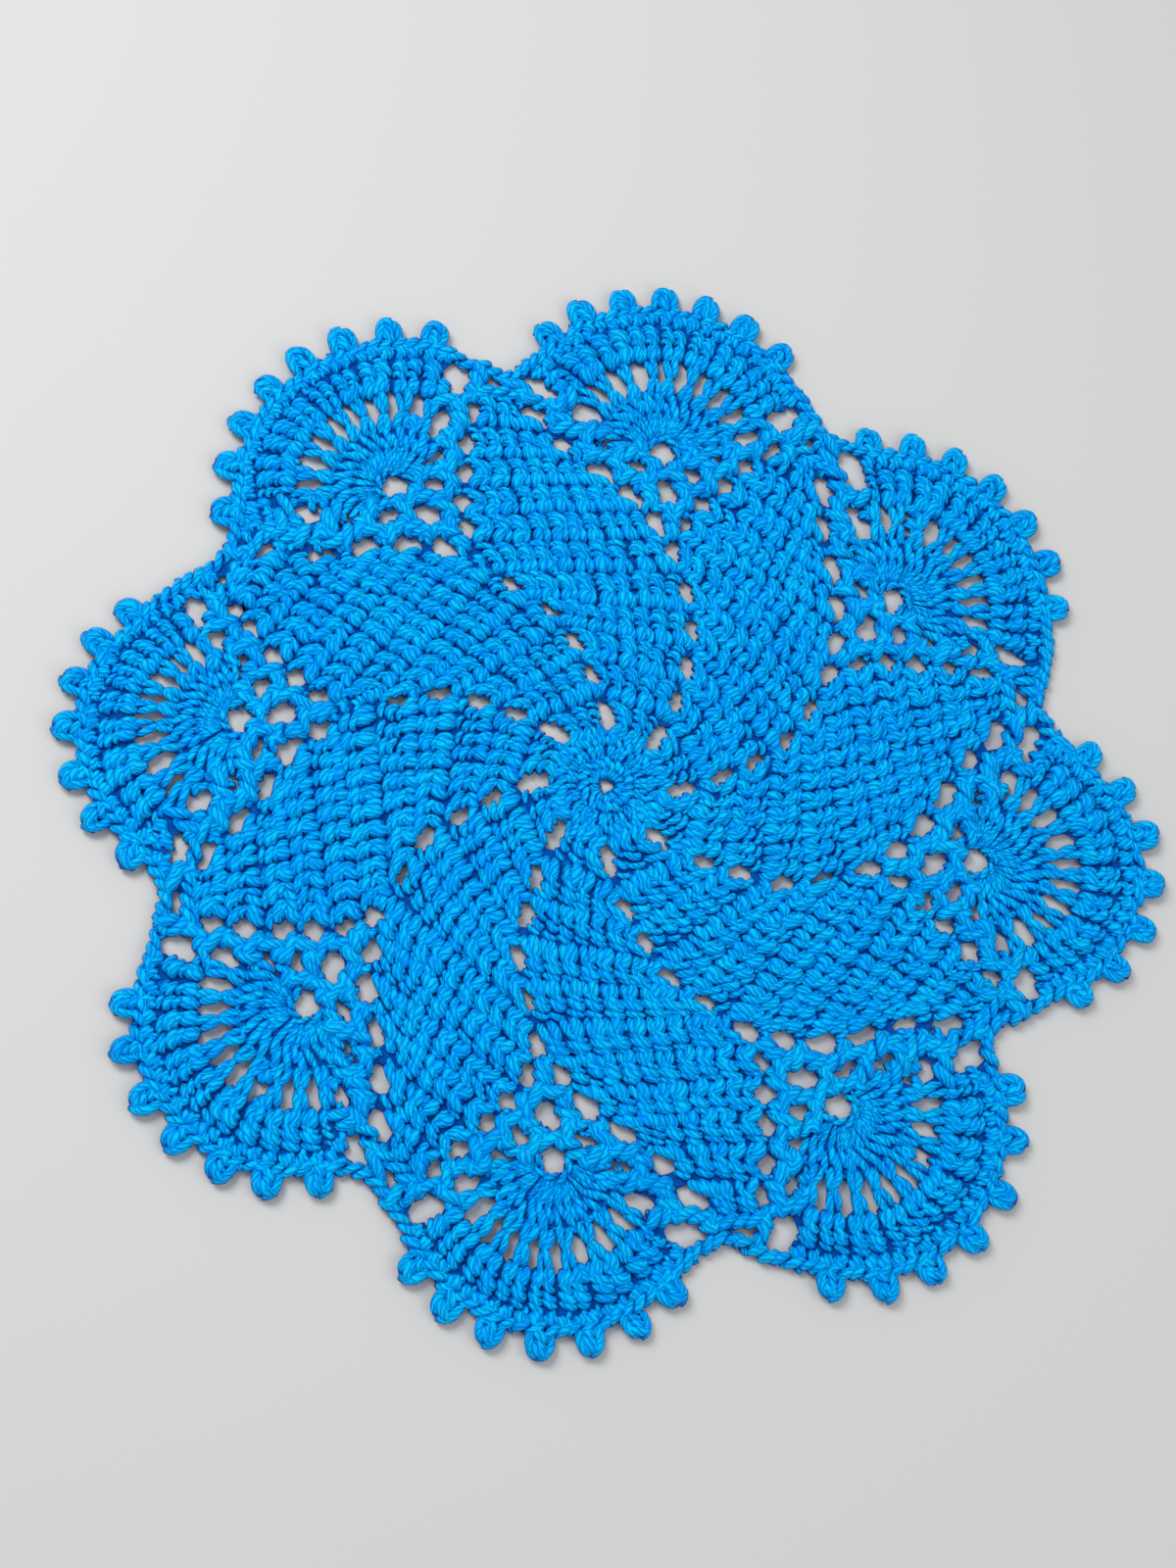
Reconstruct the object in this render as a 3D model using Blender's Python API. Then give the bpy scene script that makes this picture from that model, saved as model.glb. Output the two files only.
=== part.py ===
"""Crochet placemat: a round openwork mat worked in one piece, lying flat.

From the middle out it has a ringed hub, eight solid panels that swirl anticlockwise, a triangle of
open mesh beside each panel, and eight shell fans round the rim, each edged with picot knots.
The mat is one plate: its outline and its gaps are cut through, and its upper face is raised
along the stitch rows and sunk between them. Lengths in the tables are millimetres.

Places are given in a lobe's own chart: across is to the lobe's right and out is away from the
hub, towards the middle of the lobe's fan. Every lobe repeats one chart, pulled a little by its
row of LOBES, as a mat that was worked and blocked by hand is.
"""

import math
from collections import namedtuple

import bmesh
import bpy
from mathutils import Matrix, Vector
from mathutils.geometry import delaunay_2d_cdt

MM = 0.001

# ---------------------------------------------------------------- driving dimensions (mm, degrees)
LOBE_STEP = 45.0          # one eighth of a turn
FIRST_TURN = 124.0        # direction of the first lobe, from +X towards +Y
CHART_REACH = 115.5       # hub to the eye of a fan, as the chart draws it
CHART_RIM = 54.0          # eye of a fan to the middle of a picot, as the chart draws it

GROUND = 2.5              # thickness of the mat along every edge and gap
CREST = 3.4               # thickness along the middle of a stitch row
TROUGH = 1.9              # thickness between two stitch rows
KNOT = 4.0                # thickness in the middle of a picot

PICOT_RADIUS = 4.3        # a picot seen from above
PICOT_SINK = 3.0          # the edge between two picots lies this far inside their middles
PICOT_SWEEP = 112.0       # half the arc of a picot that stands clear of the edge
PICOT_POINTS = 5

# Turns round a fan's eye, and steps in millimetres, that shape the two sides of a lobe.
NOTCH_BEFORE = 164.0      # turn of the notch before the lobe
SHOULDER_TURN = 148.0     # a first picot short of this turn leaves a shoulder beside the notch
SHOULDER_RISE = 1.0       # the shoulder stands this far outside the edge between picots
SIDE_STEP = 9.0           # turn from the last picot to the start of the side
NOTCH_AFTER = 22.0        # turn at which the side meets the notch after the lobe
SIDE_FLARE = 2.0          # the side spreads by this much before it meets the notch

HUB_HOLE = 1.9            # radius of the hole in the middle
HUB_HOLE_POINTS = 8
HUB_RINGS = (             # radius, points, thickness
    (5.2, 6, CREST),
    (8.6, 8, TROUGH),
    (12.2, 10, CREST),
)

SPOKE_TURNS = (149, 132, 114, 99, 86, 72, 56, 42)
SPOKE_MIDDLE = 27.0       # eye of a fan to the middle of the gap between two spokes
SPOKE_LONG = 10.0
SPOKE_WIDE = 3.4
SPOKE_STRAY = 1.5         # degrees by which a spoke gap strays from its turn

# One row for each lobe, clockwise. drift is how far it has crept from even spacing, reach is hub
# to eye, first and last are the turns of its end picots round the eye, rim_* is eye to picot at
# the first, the middle and the last of them, side is eye to edge beside the last one, and dip is
# hub to the notch after the lobe. inner pushes the middle of its panels outwards, and sag pulls
# the left side of its fan inwards.
Lobe = namedtuple(
    "Lobe", "drift reach picots first last rim_first rim_mid rim_last side dip inner sag"
)
LOBES = (
    Lobe(0.0, 115.0, 8, 158, 41, 54.0, 51.0, 55.5, 51.0, 138.5, -1.0, -2.5),
    Lobe(0.0, 113.5, 7, 144, 52, 54.0, 54.5, 55.5, 54.0, 144.0, 0.0, -2.5),
    Lobe(0.0, 115.0, 7, 151, 55, 55.5, 55.5, 56.0, 56.0, 145.0, -0.5, 0.0),
    Lobe(0.5, 119.0, 7, 142, 46, 54.5, 58.5, 53.0, 50.0, 138.5, 0.0, -1.0),
    Lobe(0.5, 120.0, 7, 151, 49, 55.5, 56.5, 53.5, 51.0, 141.0, -0.5, -4.0),
    Lobe(1.5, 116.5, 7, 141, 45, 52.0, 53.5, 52.5, 50.0, 141.0, 3.0, -2.0),
    Lobe(3.0, 114.5, 7, 147, 53, 52.5, 55.0, 53.0, 49.0, 138.0, -0.5, -1.0),
    Lobe(2.0, 113.5, 7, 153, 54, 53.5, 51.0, 47.0, 47.5, 137.0, -0.5, -2.5),
)
INNER_SPAN = 95.0         # the push on the panels fades out at the hub and at this radius
SAG_START = 12.0          # the pull on the left side of a fan starts this far to its left
SAG_FULL = 30.0           # and is whole this far to its left

# One row for each gap of a lobe's chart: its middle, its length and width, the turn of its length
# from the across axis, and the corners it is cut with.
Gap = namedtuple("Gap", "across out long wide turn corners")
GAPS = {
    # the eyelets that climb the panel's right edge, hub to rim
    "swirl_2": Gap(13.8, 18.2, 10.5, 4.4, 61, 8),
    "swirl_3": Gap(17.6, 32.0, 6.0, 4.4, 68, 6),
    "swirl_4": Gap(19.4, 44.0, 6.8, 4.1, 68, 6),
    "swirl_5": Gap(19.4, 56.6, 6.0, 4.2, 85, 6),
    "swirl_6": Gap(15.4, 69.2, 6.8, 3.9, 97, 6),
    "swirl_7": Gap(9.1, 82.0, 8.6, 2.8, 97, 6),
    "swirl_8": Gap(2.0, 89.5, 9.8, 4.6, 91, 8),
    "swirl_9": Gap(-6.9, 98.0, 8.4, 7.1, 84, 8),
    "swirl_10": Gap(-19.0, 104.2, 8.4, 4.8, 149, 6),
    "swirl_11": Gap(-31.4, 111.4, 7.1, 4.4, 156, 6),
    "swirl_12": Gap(-42.6, 119.2, 8.6, 4.0, 158, 6),
    # the eyelets that climb the left edge of the next panel
    "next_8": Gap(11.6, 92.2, 5.8, 3.6, 113, 6),
    "next_9": Gap(16.1, 99.9, 6.4, 3.8, 137, 6),
    "next_10": Gap(22.1, 107.8, 5.5, 4.6, 148, 6),
    "next_11": Gap(28.5, 116.4, 6.0, 4.2, 101, 6),
    "next_12": Gap(35.8, 124.2, 5.8, 3.4, 54, 6),
    # the open mesh between those two lines
    "mesh_9": Gap(4.1, 102.4, 7.7, 5.4, 138, 8),
    "mesh_10_left": Gap(-8.2, 108.6, 7.6, 3.5, 168, 6),
    "mesh_10_right": Gap(11.2, 110.4, 6.2, 5.0, 112, 6),
    "mesh_11_left": Gap(-19.2, 114.6, 10.2, 3.6, 12, 6),
    "mesh_11_right": Gap(16.4, 117.9, 9.4, 3.8, 160, 6),
    "mesh_12_left": Gap(-26.8, 124.4, 9.4, 3.8, 169, 6),
    "mesh_12_right": Gap(26.6, 126.4, 8.8, 3.8, 24, 6),
    "mesh_13_left": Gap(-42.2, 129.6, 11.6, 5.6, 169, 8),
    "mesh_13_right": Gap(36.2, 136.0, 10.2, 6.6, 62, 8),
    "notch": Gap(46.6, 128.6, 7.6, 2.8, 127, 6),
    # the eye that a fan is worked into
    "eye": Gap(0.0, 115.5, 9.4, 8.0, 141, 10),
}
# Gaps that one lobe has in another place or size than the chart, or without which it was worked.
Stray = namedtuple("Stray", "across out swell")
STRAYS = {
    (0, "mesh_13_left"): None,
    (0, "swirl_6"): Stray(-2.5, 0.0, 0.9),
    (0, "swirl_7"): None,
    (0, "swirl_12"): Stray(-3.0, 4.5, 0.8),
    (0, "mesh_12_right"): Stray(-2.5, -1.5, 1.1),
    (0, "mesh_13_right"): Stray(0.5, -2.0, 0.95),
    (1, "mesh_11_right"): Stray(1.5, 2.0, 1.0),
    (2, "mesh_12_left"): Stray(0.0, -3.0, 1.5),
    (2, "mesh_13_left"): Stray(0.0, 2.0, 1.3),
    (2, "mesh_13_right"): Stray(-2.0, 1.0, 1.1),
    (2, "notch"): Stray(-0.5, 2.5, 1.8),
    (3, "mesh_11_left"): Stray(0.0, 0.5, 1.4),
    (3, "notch"): None,
    (4, "mesh_13_right"): Stray(2.0, -0.5, 1.25),
    (6, "mesh_12_left"): Stray(-0.5, 1.0, 1.1),
    (6, "mesh_13_left"): Stray(-2.0, -1.0, 0.75),
    (7, "mesh_13_left"): Stray(-1.0, -2.0, 0.75),
    (7, "swirl_7"): None,
    (7, "next_12"): Stray(-2.0, -2.0, 1.0),
}
AS_CHARTED = Stray(0.0, 0.0, 1.0)

FAN_SIDE_GAPS = ("mesh_12_right", "mesh_13_right", "notch")

GAP_SHIFT = 0.45          # how far a gap strays from its place in the chart
GAP_SWELL = 0.07          # share by which it is larger or smaller
GAP_LEAN = 5.0            # degrees by which its length leans

ROWS = range(2, 13)       # the rows of a panel between two lines of eyelets
ROW_INSET = 4.2           # a row's crest stops this far from the middle of its eyelet
TURN_ROW = 8              # the row at which the panel's right edge turns back, past a long eyelet
TROUGH_INSET = 1.5        # a trough stops this far from the line of eyelets
TROUGH_STOP_AT_TURN = 7.0  # and this far from it below the turn row
ROW_POINT_PITCH = 17.0    # spacing of the points along a crest or a trough

FAN_ARCS = (              # eye to arc, first turn, last turn, points, thickness
    (12.6, 158, 22, 6, CREST),
    (38.0, 148, 42, 8, CREST),
    (45.5, 140, 48, 7, TROUGH),
)


# ---------------------------------------------------------------- the chart and how lobes pull it
def wobble(lobe, item, channel):
    """A steady uneven value from -1 to 1 for one quality of one thing on one lobe."""
    return math.sin(12.9898 * (lobe + 1) + 78.233 * (item + 1) + 37.719 * channel)


def eased(position, column):
    """Read a column of LOBES between two lobes, easing from one row to the next."""
    low = math.floor(position)
    share = position - low
    share = share * share * (3 - 2 * share)
    first = getattr(LOBES[low % len(LOBES)], column)
    second = getattr(LOBES[(low + 1) % len(LOBES)], column)
    return first + (second - first) * share


def polar(radius, turn):
    """The point at a radius and a turn in degrees from +X."""
    return Vector((radius * math.cos(math.radians(turn)), radius * math.sin(math.radians(turn))))


def heading(position):
    """The direction of a lobe, or of a place between two lobes, from +X towards +Y."""
    return FIRST_TURN - LOBE_STEP * position + eased(position, "drift")


def place(lobe, across, out):
    """The point of the mat, from its hub, that a lobe's chart gives as across and out."""
    sag_share = max(0.0, min(1.0, (-across - SAG_START) / (SAG_FULL - SAG_START)))
    if out > INNER_SPAN:
        out += LOBES[lobe % len(LOBES)].sag * sag_share
    position = lobe + math.degrees(math.atan2(across, out)) / LOBE_STEP
    radius = math.hypot(across, out)
    push = eased(position, "inner") * math.sin(math.pi * min(1.0, radius / INNER_SPAN)) ** 2
    return polar(radius * eased(position, "reach") / CHART_REACH + push, heading(position))


def rim_radius(lobe, turn):
    """Eye to the middle of a picot at a turn round the eye, from the lobe's three rim columns."""
    row = LOBES[lobe]
    share = max(0.0, min(1.0, (row.first - turn) / (row.first - row.last)))
    bend = 4 * share * (1 - share)
    straight = row.rim_first + (row.rim_last - row.rim_first) * share
    middle = (row.rim_first + row.rim_last) / 2
    return straight + bend * (row.rim_mid - middle)


def fan_place(lobe, radius, turn):
    """The point at a radius and a turn round a lobe's eye, 0 to the lobe's right, 90 outwards."""
    return place(lobe, 0.0, CHART_REACH) + polar(radius, turn + heading(lobe) - 90.0)


def fan_chart(lobe, radius, turn):
    """The same, for a radius that the chart draws and the lobe's rim swells or shrinks."""
    return fan_place(lobe, radius * rim_radius(lobe, turn) / CHART_RIM, turn)


def gap_middle(lobe, name):
    """The middle of a named gap of a lobe."""
    lobe %= len(LOBES)
    gap = GAPS[name]
    item = list(GAPS).index(name)
    stray = STRAYS.get((lobe, name)) or AS_CHARTED
    across = gap.across + stray.across + GAP_SHIFT * wobble(lobe, item, 1)
    out = gap.out + stray.out + GAP_SHIFT * wobble(lobe, item, 2)
    if name not in FAN_SIDE_GAPS:
        return place(lobe, across, out)
    rise = out - CHART_REACH
    return fan_chart(lobe, math.hypot(across, rise), math.degrees(math.atan2(rise, across)))


# ---------------------------------------------------------------- outline and gaps
def oval(middle, long, wide, turn, corners):
    """A closed ring of corners on an ellipse, with a corner at each end of its length."""
    ring = []
    turned = Matrix.Rotation(math.radians(turn), 2)
    for corner in range(corners):
        angle = 2 * math.pi * corner / corners
        reach = Vector((long / 2 * math.cos(angle), wide / 2 * math.sin(angle)))
        ring.append(middle + turned @ reach)
    return ring


def gap_ring(lobe, name):
    """The corners of one gap, a little uneven from lobe to lobe."""
    gap = GAPS[name]
    item = list(GAPS).index(name)
    stray = STRAYS.get((lobe, name)) or AS_CHARTED
    swell = stray.swell + GAP_SWELL * wobble(lobe, item, 3)
    turn = gap.turn + GAP_LEAN * wobble(lobe, item, 4) + heading(lobe) - 90.0
    return oval(gap_middle(lobe, name), gap.long * swell, gap.wide * swell, turn, gap.corners)


def spoke_ring(lobe, item, turn):
    """The corners of the slit between two spokes of a fan."""
    swell = 1 + GAP_SWELL * wobble(lobe, item, 5)
    turn += SPOKE_STRAY * wobble(lobe, item, 6)
    middle = fan_chart(lobe, SPOKE_MIDDLE, turn)
    length_turn = turn + heading(lobe) - 90.0
    return oval(middle, SPOKE_LONG * swell, SPOKE_WIDE * swell, length_turn, 6)


def picot_turns(lobe):
    """The turns of a lobe's picots round its eye, evenly spaced from the first to the last."""
    row = LOBES[lobe]
    step = (row.last - row.first) / (row.picots - 1)
    return [row.first + step * number for number in range(row.picots)]


def picot_arc(lobe, turn):
    """The clear arc of one picot, clockwise as seen from above."""
    middle = fan_place(lobe, rim_radius(lobe, turn), turn)
    outwards = turn + heading(lobe) - 90.0
    step = 2 * PICOT_SWEEP / (PICOT_POINTS - 1)
    return [
        middle + polar(PICOT_RADIUS, outwards + PICOT_SWEEP - step * number)
        for number in range(PICOT_POINTS)
    ]


def lobe_edge(lobe):
    """The outline of one lobe, clockwise, from its first picot to the notch after it."""
    row = LOBES[lobe]
    turns = picot_turns(lobe)
    edge = []
    if row.first < SHOULDER_TURN:
        turn = (row.first + NOTCH_BEFORE) / 2
        radius = rim_radius(lobe, turn) - PICOT_SINK + SHOULDER_RISE
        edge.append(fan_place(lobe, radius, turn))
    for number, turn in enumerate(turns):
        edge += picot_arc(lobe, turn)
        if number + 1 < len(turns):
            halfway = (turn + turns[number + 1]) / 2
            edge.append(fan_place(lobe, rim_radius(lobe, halfway) - PICOT_SINK, halfway))
    start = row.last - SIDE_STEP
    edge.append(fan_place(lobe, (rim_radius(lobe, start) - PICOT_SINK + row.side) / 2, start))
    edge.append(fan_place(lobe, row.side, (start + NOTCH_AFTER) / 2))
    edge.append(fan_place(lobe, row.side + SIDE_FLARE, NOTCH_AFTER))
    edge.append(polar(row.dip, heading(lobe + 0.5)))
    return edge


# ---------------------------------------------------------------- raised rows
def between(first, last, inset, stop):
    """Points from inset past first to stop before last, at most ROW_POINT_PITCH apart."""
    run = last - first
    along = run.normalized()
    start = first + along * inset
    length = run.length - inset - stop
    if length <= 0:
        return []
    pieces = max(1, math.ceil(length / ROW_POINT_PITCH))
    return [start + along * (length * number / pieces) for number in range(pieces + 1)]


def panel_lines(lobe):
    """Crests along a panel's rows and troughs between them, as (points, thickness)."""
    lines = []
    previous = None
    for row in ROWS:
        left_name = f"swirl_{row}" if row < TURN_ROW else f"next_{row}"
        ends = (gap_middle(lobe - 1, left_name), gap_middle(lobe, f"swirl_{row}"))
        if previous:
            left, right = ((a + b) / 2 for a, b in zip(previous, ends))
            stop = TROUGH_STOP_AT_TURN if row == TURN_ROW else TROUGH_INSET
            lines.append((between(left, right, TROUGH_INSET, stop), TROUGH))
        lines.append((between(*ends, ROW_INSET, ROW_INSET), CREST))
        previous = ends
    return [(points, height) for points, height in lines if len(points) > 1]


def fan_lines(lobe):
    """Crests and troughs round the eye of a fan, and one point on top of each picot."""
    lines = []
    for radius, first, last, count, height in FAN_ARCS:
        step = (last - first) / (count - 1)
        points = [fan_chart(lobe, radius, first + step * number) for number in range(count)]
        lines.append((points, height))
    for turn in picot_turns(lobe):
        lines.append(([fan_place(lobe, rim_radius(lobe, turn), turn)], KNOT))
    return lines


def hub_lines():
    """The raised and sunk rings of the hub."""
    return [
        ([polar(radius, 360 * number / count) for number in range(count)], height)
        for radius, count, height in HUB_RINGS
    ]


# ---------------------------------------------------------------- the plate
class Plan:
    """Points of the plan, the edges that have to be kept, and each point's thickness."""

    OUTLINE = 0           # the first ring is the outline, and the others are gaps

    def __init__(self):
        self.points = []
        self.edges = []
        self.heights = []
        self.rings = []
        self.ring_of = []

    def add(self, points, height, closed):
        """Add a line or a ring of points at one thickness."""
        start = len(self.points)
        self.points += points
        self.heights += [height] * len(points)
        self.ring_of += [len(self.rings) if closed else None] * len(points)
        steps = len(points) if closed else len(points) - 1
        self.edges += [(start + n, start + (n + 1) % len(points)) for n in range(steps)]
        if closed:
            self.rings.append(range(start, start + len(points)))

    def is_cloth(self, face):
        """Whether an anticlockwise triangle of the plan is cloth, not gap or open air.

        A triangle with all its corners on one gap's ring fills that gap. One with all its corners
        on the outline, which runs clockwise, lies outside it if they follow it anticlockwise.
        """
        rings = {self.ring_of[corner] for corner in face}
        if len(rings) > 1 or None in rings:
            return True
        if self.OUTLINE not in rings:
            return False
        first, second, third = face
        return not (first < second < third or second < third < first or third < first < second)

    def fill(self, count):
        """The triangles of cloth between the first count points."""
        edges = [edge for edge in self.edges if max(edge) < count]
        found = delaunay_2d_cdt(self.points[:count], edges, [], 0, 1e-6)
        vertices, faces, origins = found[0], found[2], found[3]
        if len(vertices) != count:
            raise ValueError("two lines of the plan cross")
        source = [group[0] for group in origins]
        filled = [[source[corner] for corner in face] for face in faces]
        return [face for face in filled if self.is_cloth(face)]


def mat_plan():
    """The whole plan, its closed rings first, and the number of points in those rings."""
    plan = Plan()
    outline = [point for lobe in range(len(LOBES)) for point in lobe_edge(lobe)]
    plan.add(outline, GROUND, True)
    plan.add(oval(Vector((0, 0)), 2 * HUB_HOLE, 2 * HUB_HOLE, 0, HUB_HOLE_POINTS), GROUND, True)
    for lobe in range(len(LOBES)):
        for name in GAPS:
            if STRAYS.get((lobe, name), AS_CHARTED):
                plan.add(gap_ring(lobe, name), GROUND, True)
        for item, turn in enumerate(SPOKE_TURNS):
            plan.add(spoke_ring(lobe, item, turn), GROUND, True)
    ring_points = len(plan.points)
    for lobe in range(len(LOBES)):
        for points, height in panel_lines(lobe) + fan_lines(lobe):
            plan.add(points, height, False)
    for points, height in hub_lines():
        plan.add(points, height, False)
    return plan, ring_points


def plate_mesh(name):
    """The mat's mesh: flat below, walls round every ring, rows raised above.

    A relief plate with hundreds of gaps is none of the primitives, so its two faces are filled
    by Blender's constrained triangulation and its walls join them ring by ring.
    """
    plan, count = mat_plan()
    outline = [plan.points[n] for n in plan.rings[0]]
    lows = [min(point[axis] for point in outline) for axis in (0, 1)]
    highs = [max(point[axis] for point in outline) for axis in (0, 1)]
    middle = Vector(((lows[0] + highs[0]) / 2, (lows[1] + highs[1]) / 2))
    flat = [(point - middle) * MM for point in plan.points]
    vertices = [(x, y, height * MM) for (x, y), height in zip(flat, plan.heights)]
    vertices += [(x, y, 0.0) for x, y in flat[:count]]
    below = len(flat)
    faces = plan.fill(below)
    faces += [[below + corner for corner in reversed(face)] for face in plan.fill(count)]
    for ring in plan.rings:
        for corner, following in zip(ring, [*ring[1:], ring[0]]):
            faces.append([corner, following, below + following, below + corner])
    mesh = bpy.data.meshes.new(name)
    mesh.from_pydata(vertices, [], faces)
    mesh.validate()
    return mesh


def point_faces_out(mesh):
    """Turn every face of the closed plate outwards."""
    work = bmesh.new()
    work.from_mesh(mesh)
    bmesh.ops.recalc_face_normals(work, faces=work.faces)
    bmesh.ops.triangulate(work, faces=work.faces)
    work.to_mesh(mesh)
    work.free()


# ---------------------------------------------------------------- material and scene
def yarn_material():
    """Bright azure yarn with a soft shine."""
    material = bpy.data.materials.new("azure_yarn")
    material.use_nodes = True
    shader = material.node_tree.nodes["Principled BSDF"]
    shader.inputs["Base Color"].default_value = (0.002, 0.27, 0.74, 1.0)
    shader.inputs["Roughness"].default_value = 0.6
    shader.inputs["Metallic"].default_value = 0.0
    return material


def main():
    """Clear the scene and build the mat in a collection named for it."""
    for thing in list(bpy.data.objects):
        bpy.data.objects.remove(thing, do_unlink=True)
    collection = bpy.data.collections.new("crochet_placemat")
    bpy.context.scene.collection.children.link(collection)
    mesh = plate_mesh("crochet_mat")
    point_faces_out(mesh)
    mesh.materials.append(yarn_material())
    collection.objects.link(bpy.data.objects.new("crochet_mat", mesh))


main()
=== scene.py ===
"""Looks of the crochet placemat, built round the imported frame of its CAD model.

The CAD plate gives the mat's true form. Here it becomes a thin ground web of yarn, and every
stitch of the mat is worked over it as real loops: a ringed hub, eight swirling panels of double
crochet, the open mesh between them, eight shell fans, and a corded edge with picot knots.

Places are given in a lobe's own chart, in millimetres from the hub: across is to the lobe's
right and out is away from the hub, towards the middle of the lobe's fan.
"""

import logging
import math
from dataclasses import dataclass
from enum import Enum
from typing import ClassVar, NamedTuple, Sequence

import bmesh
import bpy
import numpy as np
from mathutils import Matrix, Vector
from mathutils.kdtree import KDTree


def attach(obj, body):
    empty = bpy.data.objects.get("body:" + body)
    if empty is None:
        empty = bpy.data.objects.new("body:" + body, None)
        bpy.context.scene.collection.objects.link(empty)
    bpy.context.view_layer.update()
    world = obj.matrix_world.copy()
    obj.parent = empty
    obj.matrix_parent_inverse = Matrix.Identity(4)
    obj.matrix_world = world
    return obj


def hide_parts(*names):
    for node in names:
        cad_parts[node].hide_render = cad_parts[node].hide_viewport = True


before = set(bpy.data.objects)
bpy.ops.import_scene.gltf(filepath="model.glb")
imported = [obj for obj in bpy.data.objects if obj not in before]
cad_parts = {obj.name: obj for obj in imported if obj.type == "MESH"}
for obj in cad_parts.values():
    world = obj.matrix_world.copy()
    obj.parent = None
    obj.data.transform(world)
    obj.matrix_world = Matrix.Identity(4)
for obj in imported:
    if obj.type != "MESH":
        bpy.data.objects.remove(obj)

log = logging.getLogger("crochet_placemat")

Array = np.ndarray
Colour = tuple[float, float, float, float]
MM = 0.001
TOUCHING = 1e-6     # places nearer to each other than this, in their own unit, are one place
NODE = "crochet_mat"


def read(items: Sequence[object], name: str, width: int, kind: type = float) -> Array:
    """Read one property of all vertices or faces of a mesh.

    Args:
        items: The vertices or the faces.
        name: The property.
        width: The count of numbers in it.
        kind: The type of those numbers.

    Returns:
        (items, width) numbers.
    """
    values = np.empty(len(items) * width, kind)
    items.foreach_get(name, values)
    return values.reshape(-1, width)


def place_in_scene(name: str, data: bpy.types.ID) -> bpy.types.Object:
    """Put a mesh, a camera or a light into the scene.

    Args:
        name: The name of its object.
        data: The mesh, camera or light.

    Returns:
        The object, at the origin.
    """
    made = bpy.data.objects.new(name, data)
    bpy.context.scene.collection.objects.link(made)
    return made


# ---------------------------------------------------------------- the chart of the mat
class Lobe(NamedTuple):
    """How one lobe pulls the chart. Millimetres and degrees, one row for each lobe, clockwise.

    drift is how far it has crept from even spacing, reach is hub to eye, first and last are the
    turns of its end picots round the eye, rim_first, rim_mid and rim_last are eye to picot, side
    is eye to edge beside the last picot, dip is hub to the notch after the lobe, inner pushes the
    middle of its panels outwards, and sag pulls the left side of its fan inwards.
    """

    drift: float
    reach: float
    picots: int
    first: float
    last: float
    rim_first: float
    rim_mid: float
    rim_last: float
    side: float
    dip: float
    inner: float
    sag: float


LOBES: tuple[Lobe, ...] = (
    Lobe(0.0, 115.0, 8, 158, 41, 54.0, 51.0, 55.5, 51.0, 138.5, -1.0, -2.5),
    Lobe(0.0, 113.5, 7, 144, 52, 54.0, 54.5, 55.5, 54.0, 144.0, 0.0, -2.5),
    Lobe(0.0, 115.0, 7, 151, 55, 55.5, 55.5, 56.0, 56.0, 145.0, -0.5, 0.0),
    Lobe(0.5, 119.0, 7, 142, 46, 54.5, 58.5, 53.0, 50.0, 138.5, 0.0, -1.0),
    Lobe(0.5, 120.0, 7, 151, 49, 55.5, 56.5, 53.5, 51.0, 141.0, -0.5, -4.0),
    Lobe(1.5, 116.5, 7, 141, 45, 52.0, 53.5, 52.5, 50.0, 141.0, 3.0, -2.0),
    Lobe(3.0, 114.5, 7, 147, 53, 52.5, 55.0, 53.0, 49.0, 138.0, -0.5, -1.0),
    Lobe(2.0, 113.5, 7, 153, 54, 53.5, 51.0, 47.0, 47.5, 137.0, -0.5, -2.5),
)


class Gap(NamedTuple):
    """A gap of the chart: its middle, its length and width, and the turn of its length."""

    across: float
    out: float
    long: float
    wide: float
    turn: float


GAPS: dict[str, Gap] = {
    "swirl_2": Gap(13.8, 18.2, 10.5, 4.4, 61),
    "swirl_3": Gap(17.6, 32.0, 6.0, 4.4, 68),
    "swirl_4": Gap(19.4, 44.0, 6.8, 4.1, 68),
    "swirl_5": Gap(19.4, 56.6, 6.0, 4.2, 85),
    "swirl_6": Gap(15.4, 69.2, 6.8, 3.9, 97),
    "swirl_7": Gap(9.1, 82.0, 8.6, 2.8, 97),
    "swirl_8": Gap(2.0, 89.5, 9.8, 4.6, 91),
    "swirl_9": Gap(-6.9, 98.0, 8.4, 7.1, 84),
    "swirl_10": Gap(-19.0, 104.2, 8.4, 4.8, 149),
    "swirl_11": Gap(-31.4, 111.4, 7.1, 4.4, 156),
    "swirl_12": Gap(-42.6, 119.2, 8.6, 4.0, 158),
    "next_8": Gap(11.6, 92.2, 5.8, 3.6, 113),
    "next_9": Gap(16.1, 99.9, 6.4, 3.8, 137),
    "next_10": Gap(22.1, 107.8, 5.5, 4.6, 148),
    "next_11": Gap(28.5, 116.4, 6.0, 4.2, 101),
    "next_12": Gap(35.8, 124.2, 5.8, 3.4, 54),
    "mesh_9": Gap(4.1, 102.4, 7.7, 5.4, 138),
    "mesh_10_left": Gap(-8.2, 108.6, 7.6, 3.5, 168),
    "mesh_10_right": Gap(11.2, 110.4, 6.2, 5.0, 112),
    "mesh_11_left": Gap(-19.2, 114.6, 10.2, 3.6, 12),
    "mesh_11_right": Gap(16.4, 117.9, 9.4, 3.8, 160),
    "mesh_12_left": Gap(-26.8, 124.4, 9.4, 3.8, 169),
    "mesh_12_right": Gap(26.6, 126.4, 8.8, 3.8, 24),
    "mesh_13_left": Gap(-42.2, 129.6, 11.6, 5.6, 169),
    "mesh_13_right": Gap(36.2, 136.0, 10.2, 6.6, 62),
    "notch": Gap(46.6, 128.6, 7.6, 2.8, 127),
    "eye": Gap(0.0, 115.5, 9.4, 8.0, 141),
}
GAP_ORDER = {name: item for item, name in enumerate(GAPS)}
FAN_SIDE_GAPS = ("mesh_12_right", "mesh_13_right", "notch")


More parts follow.
